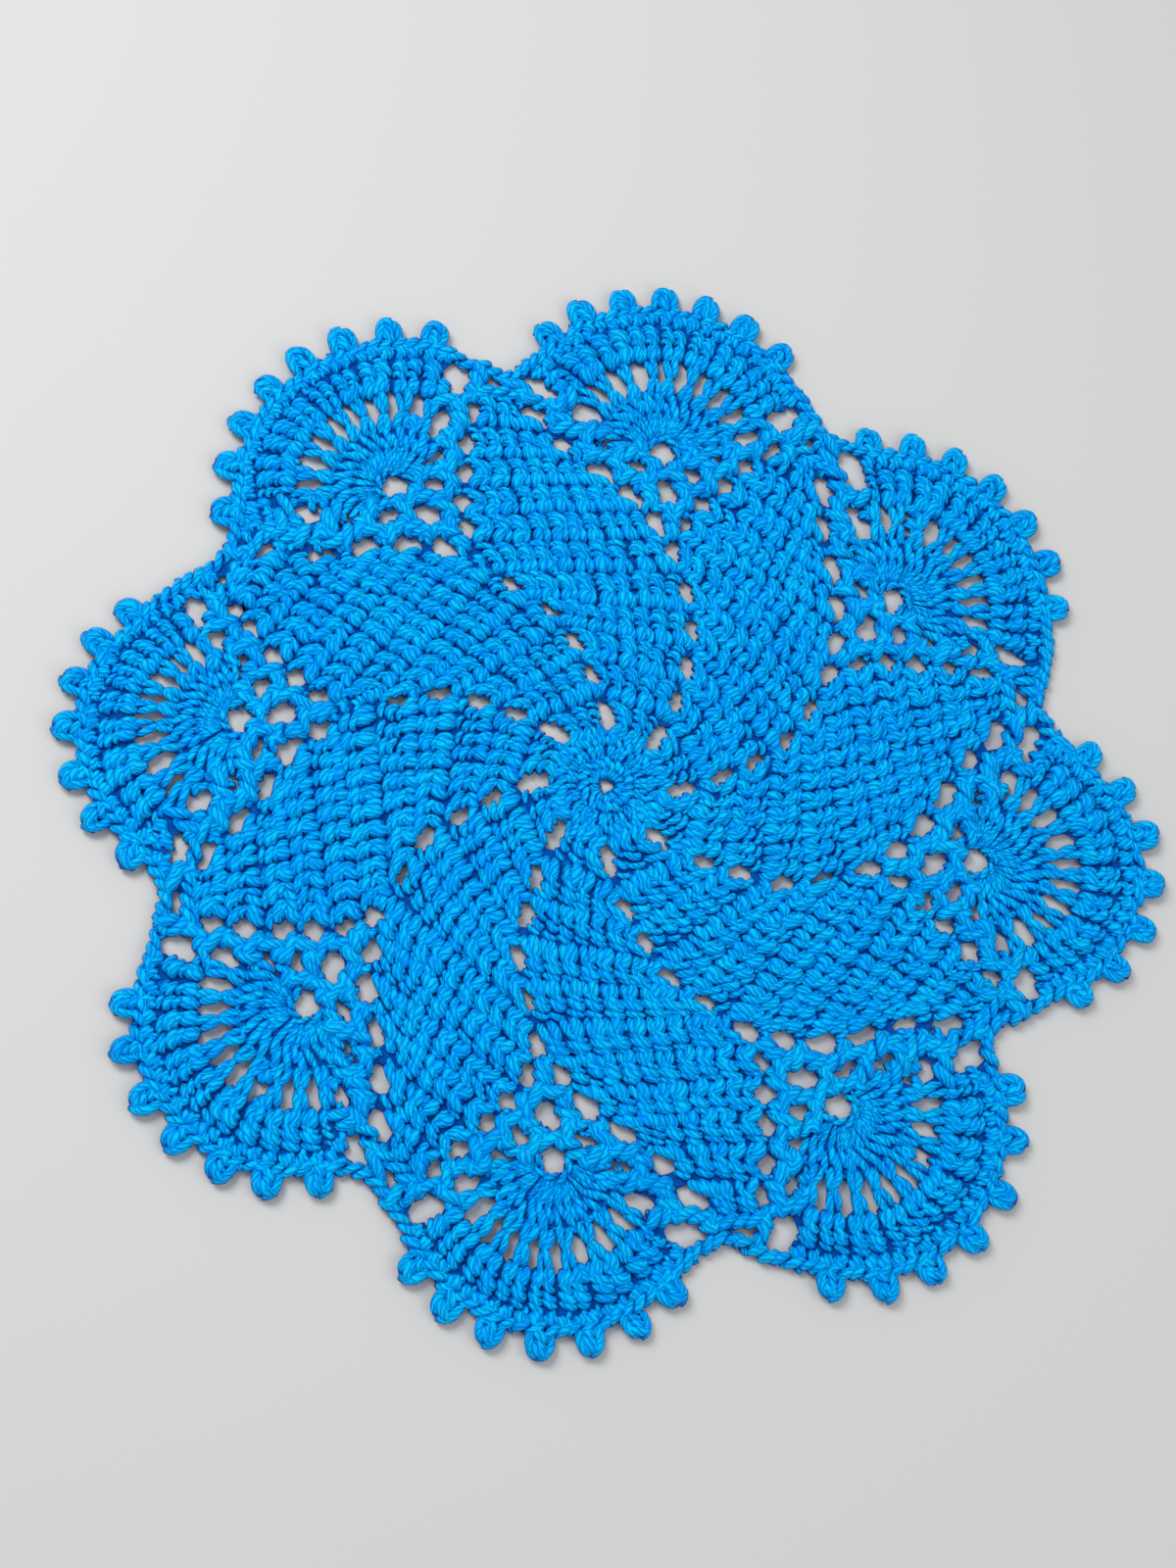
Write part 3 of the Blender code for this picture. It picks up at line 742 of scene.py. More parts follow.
class Yarn:
    """Loops of yarn that are gathered stitch by stitch and then become one mesh."""

    def __init__(self, name: str, seed: int) -> None:
        """Start with no loops.

        Args:
            name: The piece's name.
            seed: What makes the hand's small unevenness repeatable.
        """
        self.name = name
        self.random = np.random.default_rng(seed)
        self.loops: list[Array] = []

    def work(self, stitch: Stitch, cells: Array, lift: float = 0.0, girth: float = 1.0) -> None:
        """Work one stitch into each cell.

        Formula: a place (u, v) of the stitch goes to left(v) * (1/2 - u) + right(v) * (1/2 + u).
        Where the cell is narrow the yarn is thinner by width / full width, and lies lower.

        Args:
            stitch: The loops to work.
            cells: (count, levels, 2, 2) cells.
            lift: Millimetres by which the middle of each loop is raised.
            girth: Factor on the yarn's thickness.
        """
        u, v, height, half = np.moveaxis(np.array(stitch.value, float), -1, 0)
        spot = (v - LEVELS[0]) / (LEVELS[1] - LEVELS[0])
        low = np.clip(spot.astype(int), 0, len(LEVELS) - 2)
        share = (spot - low)[None, ..., None, None]
        sides = cells[:, low] * (1 - share) + cells[:, low + 1] * share
        left, right = sides[..., 0, :], sides[..., 1, :]
        flat = left * (0.5 - u)[..., None] + right * (0.5 + u)[..., None]
        width = np.linalg.norm(right - left, axis=-1)
        scale = np.clip(width / FULL_WIDTH, *HAND.squeeze) * girth
        uneven = self.random.normal(size=(len(cells), len(u), 1, 4))
        whole = self.random.normal(size=(len(cells), 1, 1, 2))
        flat = flat + uneven[..., :2] * HAND.loop_shift + whole * HAND.stitch_shift
        radius = half * scale * (1 + HAND.thickness * uneven[..., 2])
        height = height * (1 - HAND.sink + HAND.sink * scale)
        height = height + lift + HAND.height * uneven[..., 3]
        loops = np.concatenate([flat, height[..., None], radius[..., None]], axis=-1)
        self.loops.append(loops.reshape(-1, len(u[0]), 4))

    def surface(self) -> tuple[Array, Array, Array, Array]:
        """Sweep every loop as a closed tube.

        Formula: round each place of a loop's curve stands a ring, place + radius * (cosine *
        side + flat * sine * rise), where rise is upright to the run of the yarn.

        Returns:
            (loops, rings, sides, 3) points in millimetres, (loops, rings) lengths along each
            loop, (loops,) whole numbers of plies, and (loops,) even random tones from 0 to 1.
        """
        loops = np.concatenate(self.loops)
        curve = spline_weights(loops.shape[1], RINGS) @ loops
        centre, radius = curve[..., :3], curve[..., 3, None, None]
        run = np.gradient(centre, axis=1)
        run /= np.linalg.norm(run, axis=-1, keepdims=True)
        side = np.cross(run, (0.0, 0.0, 1.0))
        side /= np.linalg.norm(side, axis=-1, keepdims=True)
        rise = np.cross(side, run)
        angle = 2 * np.pi * np.arange(SIDES)[:, None] / SIDES
        ring = np.cos(angle) * side[:, :, None] + YARN_FLAT * np.sin(angle) * rise[:, :, None]
        points = centre[:, :, None] + radius * ring
        points[..., 2] = np.maximum(points[..., 2], LOWEST)
        steps = np.linalg.norm(np.diff(centre, axis=1), axis=-1)
        along = np.concatenate([np.zeros((len(loops), 1)), np.cumsum(steps, axis=1)], axis=1)
        plies = np.round(2 * np.pi * loops[..., 3].mean(axis=1) / PLY)
        plies = np.maximum(FEWEST_PLIES, plies)
        return points, along, plies, self.random.random(len(loops))

    def build(self, material: bpy.types.Material) -> bpy.types.Object:
        """Make the mesh: every loop a tube that is closed at both ends.

        It carries the yarn map, a tone for each loop, and each point's depth in the work, which sets
        the painted shade of crevices.

        Args:
            material: The finish of the yarn.

        Returns:
            The piece, riding on the mat's one body.
        """
        points, along, plies, tones = self.surface()
        quads, caps = tube_faces(len(points))
        sizes = np.concatenate([np.full(quads.size // 4, 4), np.full(caps.size // SIDES, SIDES)])
        starts = np.concatenate([[0], np.cumsum(sizes)[:-1]])
        middle = np.append(HUB_TO_MIDDLE, 0.0)
        mesh = bpy.data.meshes.new(self.name)
        mesh.vertices.add(points.size // 3)
        mesh.vertices.foreach_set("co", ((points - middle) * MM).ravel())
        mesh.loops.add(quads.size + caps.size)
        mesh.loops.foreach_set("vertex_index", np.concatenate([quads.ravel(), caps.ravel()]))
        mesh.polygons.add(len(sizes))
        mesh.polygons.foreach_set("loop_start", starts)
        mesh.update(calc_edges=True)
        mesh.polygons.foreach_set("use_smooth", np.ones(len(sizes), bool))
        layer = mesh.uv_layers.new(name=YARN_MAP)
        layer.uv.foreach_set("vector", yarn_map(along, plies))
        for name, values in (
            (TONE, np.repeat(tones, RINGS * SIDES)),
            (SHADE_DEPTH, sunk_under(points).ravel()),
        ):
            mesh.attributes.new(name, "FLOAT", "POINT").data.foreach_set("value", values)
        mesh.materials.append(material)
        return dress(place_in_scene(self.name, mesh))


def dress(piece: bpy.types.Object) -> bpy.types.Object:
    """Let a piece ride on the mat's body and stand for its solid.

    Args:
        piece: The piece.

    Returns:
        The same piece.
    """
    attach(piece, "root")
    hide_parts(NODE)
    log.info("%s: %d faces", piece.name, len(piece.data.polygons))
    return piece


def between(pair: tuple[float, float], share: Array | float) -> Array | float:
    """A value from the first of a pair, at 0, to the second, at 1 and past it."""
    return pair[0] + (pair[1] - pair[0]) * np.minimum(1.0, share)


# ---------------------------------------------------------------- sub-assemblies
@dataclass
class Hub:
    """The ringed hub: two rounds of double crochet round a small hole. Millimetres."""

    seed: ClassVar[int] = 1
    inner: tuple[float, float] = (2.4, 8.8)     # hub to the foot and the head of the inner round
    outer: tuple[float, float] = (8.2, 16.6)
    inner_count: int = 14
    outer_count: int = 24
    hole: float = 0.4                           # no cell comes nearer to the middle than this

    def build(self, material: bpy.types.Material) -> bpy.types.Object:
        """Work both rounds.

        Args:
            material: The yarn.

        Returns:
            The piece.
        """
        yarn = Yarn("hub", self.seed)
        for radii, count in ((self.inner, self.inner_count), (self.outer, self.outer_count)):
            radius = np.maximum(radii[0] + (radii[1] - radii[0]) * LEVELS, self.hole)
            turns = 360 * np.arange(count, -1, -1) / count
            yarn.work(Stitch.WEDGE, cells_between(polar(radius[None, :], turns[:, None])))
        return yarn.build(material)


@dataclass
class LobePiece:
    """A piece of one lobe, worked from the one yarn. Sizes are millimetres and degrees.

    The label and the lobe's number name it, and the seed and the lobe set its unevenness.
    """

    lobe: int
    label: ClassVar[str]
    seed: ClassVar[int]

    def work(self, yarn: Yarn) -> None:
        """Work the piece's loops into its yarn."""
        raise NotImplementedError

    def build(self, material: bpy.types.Material) -> bpy.types.Object:
        """Work the piece and make its mesh.

        Args:
            material: The yarn.

        Returns:
            The piece.
        """
        yarn = Yarn(f"{self.label}_{self.lobe + 1}", self.seed + self.lobe)
        self.work(yarn)
        return yarn.build(material)


@dataclass
class SwirlPanel(LobePiece):
    """One solid panel: rows of double crochet between two lines of eyelets."""

    label: ClassVar[str] = "swirl_panel"
    seed: ClassVar[int] = 10
    rows: range = range(2, 13)
    turn_row: int = 8           # from this row on, the left end is at a gap of the open mesh
    foot: float = 16.0          # hub to the foot of the first row
    spare: float = 5.0          # of a row's length, taken up by half an eyelet at each end
    pitch: tuple[float, float] = (4.4, 5.6)     # of the stitches of the first row, and at most
    pitch_rows: float = 0.5     # share of the rows by which the pitch is at its most
    margin: tuple[float, float] = (-0.5, 0.5)   # eyelet to stitch in the first row, and at most
    margin_rows: float = 0.25   # share of the rows by which the margin is at its most
    slack: float = 0.6          # how far above and below itself an eyelet pushes stitches
    push_count: float = 3.0     # a push fades as the power of a row's stitches over this
    lean: tuple[float, float] = (0.2, 0.7)      # slant kept amid a row, and at its ends
    lean_fade: float = 3.0
    stagger: float = 0.25       # share of a stitch by which rows are shifted, in turns

    def ends(self, row: int) -> tuple[tuple[int, str], tuple[int, str]]:
        """The lobe and name of the gaps at the left and the right end of a row."""
        left = f"swirl_{row}" if row < self.turn_row else f"next_{row}"
        return (self.lobe - 1, left), (self.lobe, f"swirl_{row}")

    def bounds(self) -> list[tuple[Array, Array]]:
        """The lines between the rows.

        Returns:
            The left and the right end of the line below each row and of the one above the last.
        """
        middles = [[CHART.gap_middle(*gap) for gap in self.ends(row)] for row in self.rows]
        feet = [self.foot * end / np.linalg.norm(end) for end in middles[0]]
        lines = [tuple(feet)]
        for low, high in zip(middles, middles[1:]):
            lines.append(tuple((a + b) / 2 for a, b in zip(low, high)))
        lines.append(tuple(2 * b - a for a, b in zip(lines[-1], middles[-1])))
        return lines

    def push(self, gap: tuple[int, str], rise: Array, across: Array, margin: float) -> Array:
        """How far an eyelet pushes the nearest stitch aside.

        Formula: (half width + margin) * sqrt(1 - (height / (half height + slack))^2), where the
        half sizes are those of the eyelet's ellipse along the row and up its end.

        Args:
            gap: The lobe and name of the eyelet.
            rise: From the foot to the head of the row's end.
            across: The unit vector along the row.
            margin: Millimetres of yarn between the eyelet and the stitch.

        Returns:
            (levels, 1) millimetres.
        """
        long, wide, along = CHART.gap_axes(*gap)
        height = np.linalg.norm(rise)
        run = rise / height
        half_up = math.hypot(long * (along @ run), wide * float(np.cross(along, run)))
        half_over = math.hypot(long * (along @ across), wide * float(np.cross(along, across)))
        spot = (LEVELS - LEVELS[MIDDLE])[:, None] * height / (half_up + self.slack)
        return (half_over + margin) * np.sqrt(np.maximum(0, 1 - spot ** 2))

    def row_cells(self, row: int, low: tuple[Array, Array], high: tuple[Array, Array]) -> Array:
        """Cells of one row, squeezed aside by the eyelets at its ends.

        Formula: each side runs through the foot, the eyelet and the head as a parabola, and an
        eyelet's push fades as a power of the share s of the way to the other end. Stitches
        inside the row stand nearly upright on it: they keep the slant of the row's ends by a
        share that rises from the first lean amid the row to the second at its ends, as
        |2s - 1|^fade. Every other row is shifted the other way by stagger * sin(pi s) stitches.

        Args:
            row: The row's number.
            low: The ends of the line below it.
            high: The ends of the line above it.

        Returns:
            The cells.
        """
        v = LEVELS[:, None]
        gaps = self.ends(row)
        middles = [CHART.gap_middle(*gap) for gap in gaps]
        across = middles[1] - middles[0]
        length = float(np.linalg.norm(across))
        across = across / length
        share = (row - self.rows[0]) / (len(self.rows) - 1)
        margin = between(self.margin, share / self.margin_rows)
        pitch = between(self.pitch, share / self.pitch_rows)
        left, right = (
            bottom * (1 - v) * (1 - 2 * v) + centre * 4 * v * (1 - v) + top * v * (2 * v - 1)
            for bottom, centre, top in zip(low, middles, high)
        )
        pushes = [
            self.push(gap, top - bottom, across, margin)
            for gap, bottom, top in zip(gaps, low, high)
        ]
        count = max(2, round((length - self.spare) / pitch))
        s = np.linspace(0, 1, count + 1)[:, None, None]
        s = s + self.stagger * (-1) ** row * np.sin(np.pi * s) / count
        fade = max(1.0, count / self.push_count)
        push = pushes[0] * (1 - s) ** fade - pushes[1] * s ** fade
        leaning = left * (1 - s) + right * s
        keep = between(self.lean, np.abs(2 * s - 1) ** self.lean_fade)
        slide = (leaning - leaning[:, MIDDLE, None]) @ across
        return cells_between(leaning + (push - slide[..., None] * (1 - keep)) * across)

    def work(self, yarn: Yarn) -> None:
        """Work every row of the panel.

        Args:
            yarn: The piece's yarn, without loops.
        """
        lines = self.bounds()
        for row, low, high in zip(self.rows, lines, lines[1:]):
            yarn.work(Stitch.DOUBLE, self.row_cells(row, low, high))


BEFORE = "<"        # the mark of a gap or knot that belongs to the lobe before
KNOTS: dict[str, tuple[str, ...]] = {
    "a": ("swirl_8", "swirl_9", "mesh_9"),
    "b": ("swirl_8", "next_8", "mesh_9"),
    "c": ("next_8", "next_9", "mesh_9"),
    "d": ("swirl_9", "swirl_10", "mesh_10_left"),
    "e": ("swirl_9", "mesh_9", "mesh_10_left"),
    "f": ("mesh_9", "mesh_10_left", "eye"),
    "g": ("mesh_9", "mesh_10_right", "eye"),
    "h": ("mesh_9", "next_9", "mesh_10_right"),
    "i": ("next_9", "next_10", "mesh_10_right"),
    "k": ("mesh_10_right", "next_10", "mesh_11_right"),
    "l": ("mesh_10_right", "eye", "mesh_11_right"),
    "m": ("next_10", "next_11", "mesh_11_right"),
    "n": ("mesh_11_right", "next_11", "mesh_12_right"),
    "o": ("swirl_10", "mesh_10_left", "mesh_11_left"),
    "p": ("mesh_10_left", "eye", "mesh_11_left"),
    "q": ("swirl_10", "swirl_11", "mesh_11_left"),
    "r": ("swirl_11", "mesh_11_left", "mesh_12_left"),
    "s": ("swirl_11", "swirl_12", "mesh_12_left"),
    "t": ("swirl_12", "mesh_12_left", "mesh_13_left"),
    "u": ("next_11", "next_12", "mesh_12_right"),
    "v": ("mesh_12_right", "next_12", "mesh_13_right"),
    "w": ("next_12", "notch", "mesh_13_right"),
    "x": ("swirl_12", "mesh_13_left", "<notch"),
    "ring_left": ("mesh_11_left", "mesh_12_left"),
    "ring_right": ("mesh_11_right", "mesh_12_right"),
    "spoke_left": ("mesh_12_left", "mesh_13_left"),
    "spoke_right": ("mesh_12_right", "mesh_13_right"),
    "side": ("notch", "mesh_13_right"),
    "dip": ("mesh_13_left", "<notch"),
    "y": ("swirl_7", "swirl_8", "next_8"),
}
FAN_KNOTS: dict[str, tuple[float, float]] = {   # eye to knot, and its turn round the eye
    "ring_left": (19.0, 176.0),
    "ring_right": (19.5, 12.0),
    "spoke_left": (33.5, 157.0),
    "spoke_right": (33.0, 32.0),
}
BARS: tuple[str, ...] = (
    "a b", "b c", "a e", "c h", "e d", "e f", "f g", "g h", "h i", "d o", "f p", "o p", "o q",
    "g l", "i k", "l k", "k m", "m n", "n u", "u v", "v w", "q r", "r s", "s t",
    "r ring_left", "n ring_right", "t spoke_left", "v spoke_right",
    "t x", "x dip", "w side", "<w x", "b y",
)


@dataclass
class OpenMesh(LobePiece):
    """The open mesh beside a panel: twisted bars of yarn that meet in knots between the gaps."""

    label: ClassVar[str] = "open_mesh"
    seed: ClassVar[int] = 30
    widths: tuple[float, float] = (4.0, 6.6)    # of a bar between two gaps, at least and at most
    plain_width: float = 4.6                    # of a bar beside fewer gaps
    link: float = 4.6
    knot_size: float = 5.4

    def gap(self, name: str) -> tuple[int, str]:
        """The lobe and plain name of a gap or knot, which a mark gives to the lobe before."""
        return (self.lobe - name.startswith(BEFORE)) % len(LOBES), name.removeprefix(BEFORE)

    def knot(self, name: str) -> Array:
        """A knot's place: midway between the gaps round it, or a place on the fan or edge.

        Args:
            name: The knot.

        Returns:
            The point in millimetres from the hub.
        """
        lobe, plain = self.gap(name)
        if lobe != self.lobe:
            return OpenMesh(lobe).knot(plain)
        if name in FAN_KNOTS:
            return CHART.fan_chart(lobe, *FAN_KNOTS[name])
        if name == "side":
            return EDGE.lobe_line(lobe, self.plain_width / 2)[-2]
        if name == "dip":
            return EDGE.lobe_line((lobe - 1) % len(LOBES), self.plain_width / 2)[-1]
        return np.mean([CHART.gap_middle(*self.gap(gap)) for gap in KNOTS[name]], axis=0)

    def bar(self, first: str, second: str) -> Array:
        """Cells of one bar, as wide as the cloth between the two gaps that it parts.

        Formula: an ellipse reaches 1 / sqrt((cosine / long)^2 + (sine / wide)^2) from its middle
        along a line; what is left of the line between two gaps is the bar's width.

        Args:
            first: The knot it starts at.
            second: The knot it ends at.

        Returns:
            The cells.
        """
        ends = [self.knot(first), self.knot(second)]
        parted = sorted(set(KNOTS[first.removeprefix(BEFORE)]) & set(KNOTS[second]))
        if len(parted) < 2:
            return cord_cells(np.array(ends), self.plain_width, self.link)
        gaps = [self.gap(name) for name in parted]
        middles = [CHART.gap_middle(*gap) for gap in gaps]
        line = middles[1] - middles[0]
        length = float(np.linalg.norm(line))
        line = line / length
        reaches = []
        for gap in gaps:
            long, wide, along = CHART.gap_axes(*gap)
            reaches.append(1 / math.hypot(along @ line / long, float(np.cross(along, line)) / wide))
        width = length - sum(reaches)
        middle = middles[0] + line * (reaches[0] + width / 2)
        path = np.array([ends[0], middle, ends[1]])
        return cord_cells(path, float(np.clip(width, *self.widths)), self.link)

    def work(self, yarn: Yarn) -> None:
        """Twist a bar between each pair of knots, and close each knot with a short stitch.

        Args:
            yarn: The piece's yarn, without loops.
        """
        for bar in BARS:
            yarn.work(Stitch.TWIST, self.bar(*bar.split()))
        middles = np.array([self.knot(name) for name, gaps in KNOTS.items() if len(gaps) == 3])
        up = middles / np.linalg.norm(middles, axis=1, keepdims=True)
        yarn.work(Stitch.SHORT, block_cells(middles, up, self.knot_size, self.knot_size))


SPOKE_SLITS = (149, 132, 114, 99, 86, 72, 56, 42)   # turns of a fan's slits round its eye


@dataclass
class ShellFan(LobePiece):
    """One shell fan: a ring in the eye, spokes, shells that slits part, and a brim.

    A pair of sizes is eye to foot and eye to head, or the first and the last turn.
    """

    label: ClassVar[str] = "shell_fan"
    seed: ClassVar[int] = 50
    ring: tuple[float, float] = (4.4, 20.0)
    ring_turns: tuple[float, float] = (186.0, 8.0)
    ring_count: int = 14
    rim: float = 5.0                                # eye to the cord round it
    rim_turns: tuple[float, float] = (200.0, -12.0)
    rim_points: int = 13
    rim_width: float = 2.6
    rim_link: float = 3.4
    rim_lift: float = 0.3
    spoke: tuple[float, float] = (19.0, 32.5)
    spoke_width: float = 4.4
    end_turns: tuple[float, float] = (155.0, 33.0)
    shell: tuple[float, float] = (32.0, 44.0)
    shell_step: float = 8.0                         # about the turn from one stitch to the next
    parting: float = 0.8                            # turn left bare on each side of a slit
    plump: float = 1.2                              # factor on the thickness of a shell's yarn
    brim: tuple[float, float] = (43.6, 47.6)
    brim_pitch: float = 4.6

    def work(self, yarn: Yarn) -> None:
        """Work the fan from its eye to its brim.

        Args:
            yarn: The piece's yarn, without loops.
        """
        turns = np.linspace(*self.ring_turns, self.ring_count + 1)
        yarn.work(Stitch.WEDGE, fan_cells(self.lobe, self.ring, turns))
        rim_turns = np.linspace(*self.rim_turns, self.rim_points)
        rim = CHART.fan_chart(self.lobe, self.rim, rim_turns)
        yarn.work(Stitch.TWIST, cord_cells(rim, self.rim_width, self.rim_link), self.rim_lift)
        first_turn, last_turn = self.end_turns
        slits = np.array(SPOKE_SLITS, float)
        for turn in (first_turn, *(slits[1:] + slits[:-1]) / 2, last_turn):
            path = CHART.fan_chart(self.lobe, np.array(self.spoke), turn)
            yarn.work(Stitch.POST, cord_cells(path, self.spoke_width, WHOLE))
        parts = [first_turn, *SPOKE_SLITS, last_turn]
        for first, last in zip(parts, parts[1:]):
            count = max(1, round((first - last) / self.shell_step))
            turns = np.linspace(first - self.parting, last + self.parting, count + 1)
            yarn.work(Stitch.DOUBLE, fan_cells(self.lobe, self.shell, turns), girth=self.plump)
        arc = (first_turn - last_turn) / 360 * 2 * math.pi * self.brim[1]
        turns = np.linspace(first_turn, last_turn, round(arc / self.brim_pitch) + 1)
        yarn.work(Stitch.SHORT, fan_cells(self.lobe, self.brim, turns))


@dataclass
class Edging(LobePiece):
    """The edge of one lobe: a cord, from this lobe's first picot to the next's, and picots."""

    label: ClassVar[str] = "edging"
    seed: ClassVar[int] = 70
    inset: float = 2.1          # outline to the middle of the cord
    width: float = 4.2
    link: float = 4.0
    knot_size: float = 7.4

    def work(self, yarn: Yarn) -> None:
        """Work the cord and then the picots.

        Args:
            yarn: The piece's yarn, without loops.
        """
        following = EDGE.lobe_line((self.lobe + 1) % len(LOBES), self.inset)[:2]
        path = np.concatenate([EDGE.lobe_line(self.lobe, self.inset), following])
        yarn.work(Stitch.TWIST, cord_cells(path, self.width, self.link))
        turns = CHART.picot_turns(self.lobe)
        middles = CHART.fan_place(self.lobe, CHART.rim_radius(self.lobe, turns), turns)
        up = polar(1.0, turns + CHART.heading(self.lobe) - 90)
        yarn.work(Stitch.PICOT, block_cells(middles, up, self.knot_size, self.knot_size))


@dataclass
class TuckedYarn:
    """Yarn tucked behind the stitches, wherever the ground web would show between them."""

    seed: ClassVar[int] = 90
    pitch: float = 2.0      # millimetres between the places that are tried
    clear: float = 1.55     # a bare place is this far from any yarn, and two are twice as far
    width: float = 4.6
    height: float = 5.4
    lean: float = 30.0      # degrees, the standard deviation from outwards

    def bare(self, web: bpy.types.Object, pieces: Sequence[bpy.types.Object]) -> Array:
        """Places on the web that no loop comes near.

        Args:
            web: The ground web.
            pieces: The pieces of yarn.

        Returns:
            Points in millimetres from the hub.
        """
        points = np.concatenate([read(piece.data.vertices, "co", 3) for piece in pieces])
        rings = points.reshape(-1, SIDES, 3)[..., :2].mean(axis=1)
        tree = KDTree(len(rings))
        for number, (x, y) in enumerate(rings):
            tree.insert((x, y, 0.0), number)
        tree.balance()
        reach = np.abs(np.array(web.bound_box)[:, :2]).max() / MM
        grid = np.arange(-reach, reach, self.pitch)
        found = []
        for x, y in np.stack(np.meshgrid(grid, grid), axis=-1).reshape(-1, 2):
            if tree.find((x * MM, y * MM, 0.0))[2] < self.clear * MM:
                continue
            taken = any(math.hypot(x - a, y - b) < 2 * self.clear for a, b in found)
            if not taken and web.ray_cast((x * MM, y * MM, 1.0), (0.0, 0.0, -1.0))[0]:
                found.append((x, y))
        return np.array(found) + HUB_TO_MIDDLE

    def build(
        self,
        web: bpy.types.Object,
        pieces: Sequence[bpy.types.Object],
        material: bpy.types.Material,
    ) -> bpy.types.Object:
        """Tuck a loop in at each bare place, more or less upright.

        Args:
            web: The ground web.
            pieces: The pieces of yarn.
            material: The yarn.

        Returns:
            The piece.
        """
        yarn = Yarn("tucked_yarn", self.seed)
        middles = self.bare(web, pieces)
        turns = np.degrees(np.arctan2(middles[:, 1], middles[:, 0]))
        up = polar(1.0, turns + yarn.random.normal(size=len(turns)) * self.lean)
        yarn.work(Stitch.TUCKED, block_cells(middles, up, self.width, self.height))
        return yarn.build(material)


@dataclass
class GroundWeb:
    """The thin web of yarn behind the stitches, with the CAD plate's outline and gaps."""

    inset: float = 1.6 * MM     # how far its edges stay inside the plate's
    bottom: float = 1.0 * MM    # height of its underside over the floor
    top: float = 1.9 * MM
    steep: float = 0.3          # a face whose normal rises by less than this is a wall

    def build(self, material: bpy.types.Material) -> bpy.types.Object:
        """Draw the plate's walls in, and thin it to a web.

        Formula: a point on a wall moves against the walls' horizontal normal by the inset, and
        every point goes to the web's bottom or top.

        Args:
            material: The ground's finish, painted dark as shade.

        Returns:
            The piece.
        """
        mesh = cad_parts[NODE].data.copy()
        mesh.name = "ground_web"
        work = bmesh.new()
        work.from_mesh(mesh)
        bmesh.ops.remove_doubles(work, verts=work.verts, dist=TOUCHING)
        work.to_mesh(mesh)
        work.free()
        points = read(mesh.vertices, "co", 3)
        normals = read(mesh.polygons, "normal", 3)
        corners = read(mesh.polygons, "vertices", 3, int)
        walls = np.abs(normals[:, 2]) < self.steep
        pull = np.zeros((len(points), 2))
        np.add.at(pull, corners[walls].ravel(), np.repeat(normals[walls, :2], 3, axis=0))
        size = np.linalg.norm(pull, axis=1, keepdims=True)
        pull = np.divide(pull, size, out=np.zeros_like(pull), where=size > 0)
        points[:, :2] -= self.inset * pull
        points[:, 2] = np.where(points[:, 2] > self.bottom / 2, self.top, self.bottom)
        mesh.vertices.foreach_set("co", points.ravel())
        mesh.update()
        mesh.materials.clear()
        mesh.materials.append(material)
        return dress(place_in_scene(mesh.name, mesh))


# ---------------------------------------------------------------- finishes
class Value:
    """A socket whose arithmetic adds Math nodes."""

    def __init__(self, shader: "Shader", socket: bpy.types.NodeSocket) -> None:
        """Wrap a socket of a shader's node tree."""
        self.shader = shader
        self.socket = socket

    def math(self, operation: str, *others: "Value | float") -> "Value":
        """Add a Math node of this value and the others."""
        return self.shader.node("ShaderNodeMath", {"operation": operation}, (self, *others))

    def __add__(self, other: "Value | float") -> "Value":
        """This plus other."""
        return self.math("ADD", other)

    __radd__ = __add__

    def __sub__(self, other: "Value | float") -> "Value":
        """This less other."""
        return self.math("SUBTRACT", other)

    def __rsub__(self, other: float) -> "Value":
        """Other less this."""
        return self.shader.node("ShaderNodeMath", {"operation": "SUBTRACT"}, (other, self))

    def __mul__(self, other: "Value | float") -> "Value":
        """This times other."""
        return self.math("MULTIPLY", other)

    __rmul__ = __mul__


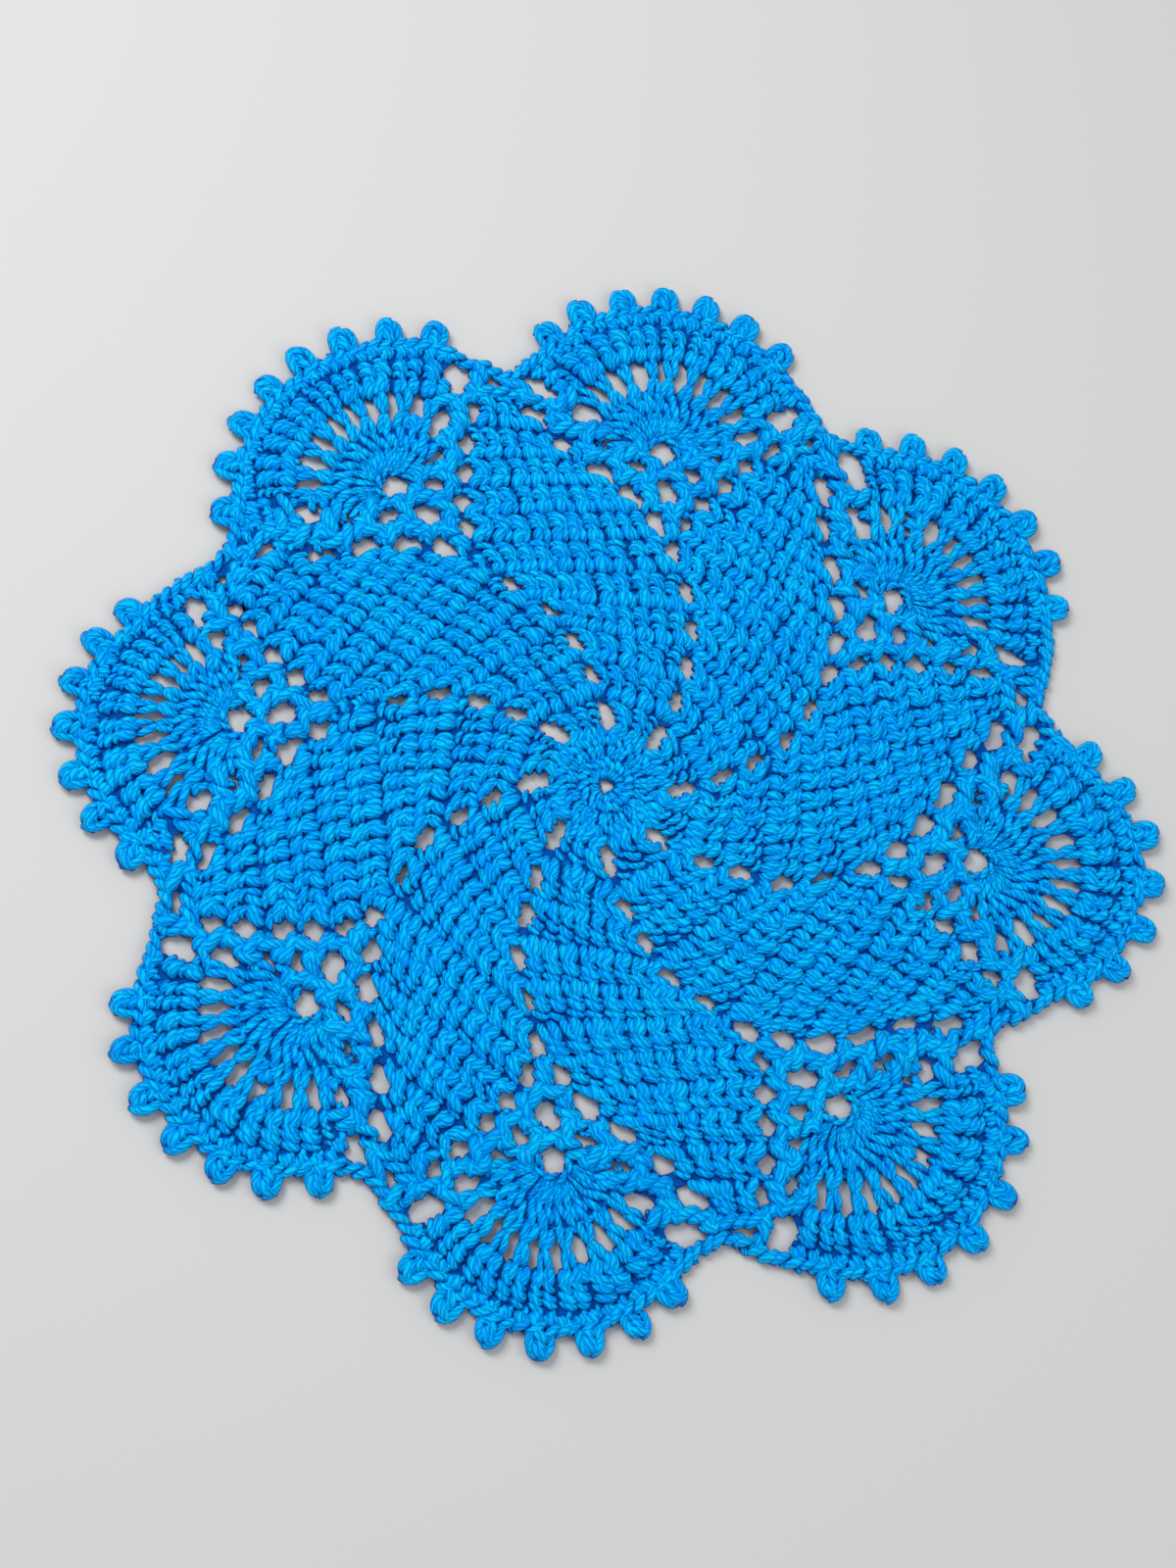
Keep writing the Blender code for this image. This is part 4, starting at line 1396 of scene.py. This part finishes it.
class Shader:
    """A node material that is written as expressions."""

    def __init__(self, name: str) -> None:
        """Start a material with its Principled shader alone.

        Args:
            name: The material's name.
        """
        self.material = bpy.data.materials.new(name)
        self.material.use_nodes = True
        self.tree = self.material.node_tree
        self.principled = self.tree.nodes["Principled BSDF"]

    def node(
        self,
        kind: str,
        settings: dict[str, object],
        inputs: Sequence[object] | dict[str, object],
        output: str | int = 0,
    ) -> Value:
        """Add any node.

        Args:
            kind: The node's type.
            settings: Its properties, set first.
            inputs: The values or links of its sockets, in order or by name.
            output: The socket to give back.

        Returns:
            That output, wrapped.
        """
        made = self.tree.nodes.new(kind)
        for name, setting in settings.items():
            setattr(made, name, setting)
        named = inputs.items() if isinstance(inputs, dict) else enumerate(inputs)
        for place, given in named:
            self.feed(made.inputs[place], given)
        return Value(self, made.outputs[output])

    def feed(self, socket: bpy.types.NodeSocket, given: object) -> None:
        """Link a wrapped socket to a socket, or set its value.

        Args:
            socket: The socket that is fed.
            given: The wrapped socket, or the value.
        """
        if isinstance(given, Value):
            self.tree.links.new(given.socket, socket)
        else:
            socket.default_value = given

    def mix(self, share: Value | float, first: object, second: object) -> Value:
        """A colour between two, by a Mix node: first * (1 - share) + second * share.

        Args:
            share: The share of the second colour.
            first: A colour, or a wrapped one.
            second: The other.

        Returns:
            The colour.
        """
        made = self.tree.nodes.new("ShaderNodeMix")
        made.data_type = "RGBA"
        self.feed(made.inputs["Factor"], share)
        colours = [socket for socket in made.inputs if socket.type == "RGBA"]
        for socket, given in zip(colours, (first, second)):
            self.feed(socket, given)
        result = next(socket for socket in made.outputs if socket.type == "RGBA")
        return Value(self, result)

    def attribute(self, name: str) -> Value:
        """A value that the mesh carries at each point."""
        return self.node("ShaderNodeAttribute", {"attribute_name": name}, (), "Fac")

    def object_place(self) -> Value:
        """The place on the piece, in metres."""
        return self.node("ShaderNodeTexCoord", {}, (), "Object")

    def part(self, vector: Value, axis: str) -> Value:
        """One part of a vector: X, Y or Z."""
        return self.node("ShaderNodeSeparateXYZ", {}, (vector,), axis)

    def noise(self, scale: float, detail: float, at: "Value | tuple[Value, ...]") -> Value:
        """Noise from 0 to 1, about 0.5.

        Args:
            scale: Blobs for each unit of the place.
            detail: Steps of finer noise in it.
            at: The place, or its three parts.

        Returns:
            The noise.
        """
        if isinstance(at, tuple):
            at = self.node("ShaderNodeCombineXYZ", {}, at)
        inputs = {"Vector": at, "Scale": scale, "Detail": detail}
        return self.node("ShaderNodeTexNoise", {}, inputs)

    def ease(self, value: Value, ends: tuple[float, float]) -> Value:
        """A smooth step from 0 at the first of the ends to 1 at the second."""
        inputs = {"Value": value, "From Min": ends[0], "From Max": ends[1]}
        return self.node("ShaderNodeMapRange", {"interpolation_type": "SMOOTHSTEP"}, inputs)

    def bump(self, height: Value, relief: float) -> Value:
        """A normal for a surface raised by up to the relief, in millimetres."""
        inputs = {"Strength": 1.0, "Distance": relief * MM, "Height": height}
        return self.node("ShaderNodeBump", {}, inputs)

    def surface(self, **sockets: object) -> None:
        """Feed sockets of the Principled shader, named with _ for a space."""
        for name, given in sockets.items():
            self.feed(self.principled.inputs[name.replace("_", " ")], given)


@dataclass(frozen=True)
class YarnFinish:
    """Bright azure plied yarn: twisted plies, fine fibres along them, and a soft sheen. Its colour
    carries painted shade, darker where the yarn lies low or under other yarn, and painted highlights
    on the crests of plies and fibre streaks.

    A gain is how much one pattern brightens or raises the yarn beside the others. Patterns run
    in half turns of the plies and in millimetres along the yarn.
    """

    name: str = "azure_yarn"
    deep: Colour = (0.0, 0.055, 0.45, 1.0)      # painted shade, for yarn that lies low or under other yarn
    body: Colour = (0.0, 0.295, 0.98, 1.0)
    light: Colour = (0.002, 0.60, 1.0, 1.0)     # painted highlight on the crests of plies and fibre streaks
    sheen: Colour = (0.0, 0.70, 1.0, 1.0)
    lay: float = 2.3                            # millimetres along the yarn for each ply
    drift_rate: float = 0.5                     # of the noise that pushes plies about
    drift: float = 1.6                          # half turns by which it pushes them
    streak_rates: tuple[float, float] = (6.0, 0.4)      # fibre streaks round and along
    tone_steps: tuple[float, float] = (70.0, 50.0)      # a loop's own place in both noises
    patch_rate: float = 60.0                    # uneven patches, for each metre
    shade: tuple[float, float] = (0.9 * MM, 3.2 * MM)   # heights of yarn in whole painted shade and in whole painted light
    shelter: tuple[float, float] = (2.6, 0.4)   # depths in millimetres of yarn in whole painted shade and in whole painted light
    ply_gain: float = 0.9
    streak_gain: float = 2.4
    patch_gain: float = 0.4
    tone_gain: float = 0.35
    highlight_ends: tuple[float, float] = (0.1, 1.2)      # pattern values at which the painted highlight starts and is whole
    roughness: tuple[float, float] = (0.32, 0.25)       # of a streak's crest, and its rise
    relief: float = 0.55
    relief_gain: float = 0.8
    gloss: float = 0.3

    def build(self) -> bpy.types.Material:
        """Build the material.

        Formula: the plies are the sine, without its sign, of plies round + length / lay half
        turns, pushed about by noise. Fibre streaks are noise drawn out along the plies. Both
        raise the surface and paint highlights on their crests; random patches and each loop's own
        tone vary the colour too. Yarn that lies low or under other yarn is painted dark as shade,
        and only high open yarn takes the painted highlights.

        Returns:
            The material.
        """
        shader = Shader(self.name)
        uv = shader.node("ShaderNodeUVMap", {"uv_map": YARN_MAP}, ())
        along, around = shader.part(uv, "X"), shader.part(uv, "Y")
        tone = shader.attribute(TONE)
        drift_step, streak_step = self.tone_steps
        turns = around + along * (1 / self.lay)
        drift = shader.noise(
            scale=1.0, detail=1.0,
            at=(turns * self.drift_rate, along * self.drift_rate, tone * drift_step),
        )
        ply = ((turns + drift * self.drift) * math.pi).math("SINE").math("ABSOLUTE")
        round_rate, along_rate = self.streak_rates
        streak = shader.noise(
            scale=1.0, detail=2.0,
            at=(turns * round_rate, along * along_rate, tone * streak_step),
        )
        place = shader.object_place()
        patch = shader.noise(scale=self.patch_rate, detail=2.0, at=place)
        # painted light and shade: higher yarn is painted lighter, lower yarn darker, and yarn under
        # the yarn round it darker still
        painted_height_light = shader.ease(shader.part(place, "Z"), self.shade)
        painted_crevice_light = shader.ease(shader.attribute(SHADE_DEPTH), self.shelter)
        # ply crests and fibre streaks give painted highlights; patches and tone are the yarn's own
        # random colour
        bright = (
            ply * self.ply_gain + (streak - 0.5) * self.streak_gain
            + (patch - 0.5) * self.patch_gain + (tone - 0.5) * self.tone_gain
        )
        # painted shade where the yarn is low or sheltered, and painted highlights only where it is
        # high and open
        lit = painted_height_light * painted_crevice_light
        body = shader.mix(lit, self.deep, self.body)
        colour = shader.mix(shader.ease(bright, self.highlight_ends) * lit, body, self.light)
        crest, rise = self.roughness
        shader.surface(
            Base_Color=colour,
            Roughness=(1 - streak) * rise + crest,
            Normal=shader.bump(ply * self.relief_gain + streak * self.relief_gain, self.relief),
            Specular_IOR_Level=self.gloss,
            Specular_Tint=self.sheen,
        )
        return shader.material


@dataclass(frozen=True)
class GroundShadeFinish:
    """The same yarn where it lies deep between the stitches, painted dark as the shade that falls
    there.
    """

    name: str = "azure_ground_painted_shade"
    # both colours are painted shade: the web stands for the shadow between stitches, darkest in the
    # strands' grooves
    deep: Colour = (0.0, 0.030, 0.25, 1.0)
    body: Colour = (0.0, 0.11, 0.46, 1.0)
    strand_rate: float = 500.0      # strands for each metre
    relief: float = 0.3
    roughness: float = 0.9
    gloss: float = 0.1

    def build(self) -> bpy.types.Material:
        """Build the material: a dark sheet of painted shade, with strands of noise that are darker
        still, as painted shade, in their grooves.

        Returns:
            The material.
        """
        shader = Shader(self.name)
        strands = shader.noise(scale=self.strand_rate, detail=3.0, at=shader.object_place())
        shader.surface(
            Base_Color=shader.mix(strands, self.deep, self.body),
            Roughness=self.roughness,
            Normal=shader.bump(strands, self.relief),
            Specular_IOR_Level=self.gloss,
        )
        return shader.material


# ---------------------------------------------------------------- studio
class Lamp(NamedTuple):
    """A square lamp that faces the middle of the mat, in metres and watts."""

    name: str
    place: tuple[float, float, float]
    size: float
    power: float


@dataclass(frozen=True)
class Studio:
    """A plain pale floor, soft light, and the camera. Metres and degrees, but for the lens."""

    lens: float = 58.5              # millimetres, as is the sensor
    sensor: float = 36.0
    nearest: float = 0.01           # from here on the camera sees
    distance: float = 0.78
    azimuth: float = -33.6
    elevation: float = 70.2
    roll: float = 33.42
    aim: tuple[float, float] = (-5.25, 0.89)        # millimetres from the hub
    floor_size: float = 6.0
    floor_colour: Colour = (0.62, 0.61, 0.59, 1.0)
    floor_roughness: float = 0.9
    lamps: tuple[Lamp, ...] = (
        Lamp("key", (-0.55, 0.45, 0.95), 0.55, 9.0),
        Lamp("fill", (0.7, -0.5, 0.9), 0.9, 3.0),
    )
    sky_colour: Colour = (0.9, 0.95, 1.0, 1.0)
    sky_strength: float = 0.55

    def camera(self) -> None:
        """Set the camera at its viewing angle, turned about its own axis by the roll."""
        data = bpy.data.cameras.new("camera")
        data.lens = self.lens
        data.sensor_fit = "VERTICAL"
        data.sensor_height = self.sensor
        data.clip_start = self.nearest
        turn, tilt = math.radians(self.azimuth), math.radians(self.elevation)
        back = Vector((
            math.sin(turn) * math.cos(tilt), -math.cos(turn) * math.cos(tilt), math.sin(tilt)
        ))
        level = Vector((math.cos(turn), math.sin(turn), 0.0))
        upright = back.cross(level)
        roll = math.radians(self.roll)
        right = level * math.cos(roll) + upright * math.sin(roll)
        up = upright * math.cos(roll) - level * math.sin(roll)
        aim = Vector((*(np.array(self.aim) - HUB_TO_MIDDLE) * MM, 0.0))
        pose = Matrix((right, up, back)).transposed().to_4x4()
        pose.translation = aim + back * self.distance
        eye = place_in_scene("camera", data)
        eye.matrix_world = pose
        bpy.context.scene.camera = eye

    def floor(self) -> None:
        """Lay the plain pale floor."""
        half = self.floor_size / 2
        mesh = bpy.data.meshes.new("floor")
        mesh.from_pydata(
            [(-half, -half, 0), (half, -half, 0), (half, half, 0), (-half, half, 0)], [],
            [(0, 1, 2, 3)],
        )
        shader = Shader("pale_floor")
        shader.surface(Base_Color=self.floor_colour, Roughness=self.floor_roughness)
        mesh.materials.append(shader.material)
        place_in_scene("floor", mesh)

    def light(self) -> None:
        """Hang the lamps, a broad key at the upper left and a fill, under a dim even sky."""
        for lamp in self.lamps:
            data = bpy.data.lights.new(lamp.name, "AREA")
            data.size = lamp.size
            data.energy = lamp.power
            hung = place_in_scene(lamp.name, data)
            hung.location = lamp.place
            hung.rotation_euler = (-Vector(lamp.place)).to_track_quat("-Z", "Y").to_euler()
        world = bpy.data.worlds.new("sky")
        world.use_nodes = True
        background = world.node_tree.nodes["Background"].inputs
        background["Color"].default_value = self.sky_colour
        background["Strength"].default_value = self.sky_strength
        bpy.context.scene.world = world
        bpy.context.scene.view_settings.view_transform = "Standard"

    def build(self) -> None:
        """Set the whole stage."""
        self.camera()
        self.floor()
        self.light()


def flat_area(mesh: bpy.types.Mesh) -> float:
    """The area that a plate covers, less its gaps.

    Formula: half the sum over its faces of area * |upward part of the normal|, because the
    plate's top and its underside cover the same.

    Args:
        mesh: The plate, closed and without overhangs, in metres.

    Returns:
        Square metres.
    """
    areas = read(mesh.polygons, "area", 1)[:, 0]
    upward = np.abs(read(mesh.polygons, "normal", 3)[:, 2])
    return float(areas @ upward) / 2


def main() -> None:
    """Build the mat piece by piece."""
    logging.basicConfig(level=logging.INFO, format="%(message)s")
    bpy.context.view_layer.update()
    Studio().build()
    yarn = YarnFinish().build()
    ground = GroundWeb().build(GroundShadeFinish().build())
    pieces = [Hub().build(yarn)]
    for lobe in range(len(LOBES)):
        for part in (SwirlPanel, OpenMesh, ShellFan, Edging):
            pieces.append(part(lobe).build(yarn))
    pieces.append(TuckedYarn().build(ground, pieces, yarn))
    flat_area(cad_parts[NODE].data)


if __name__ == "__main__":
    main()
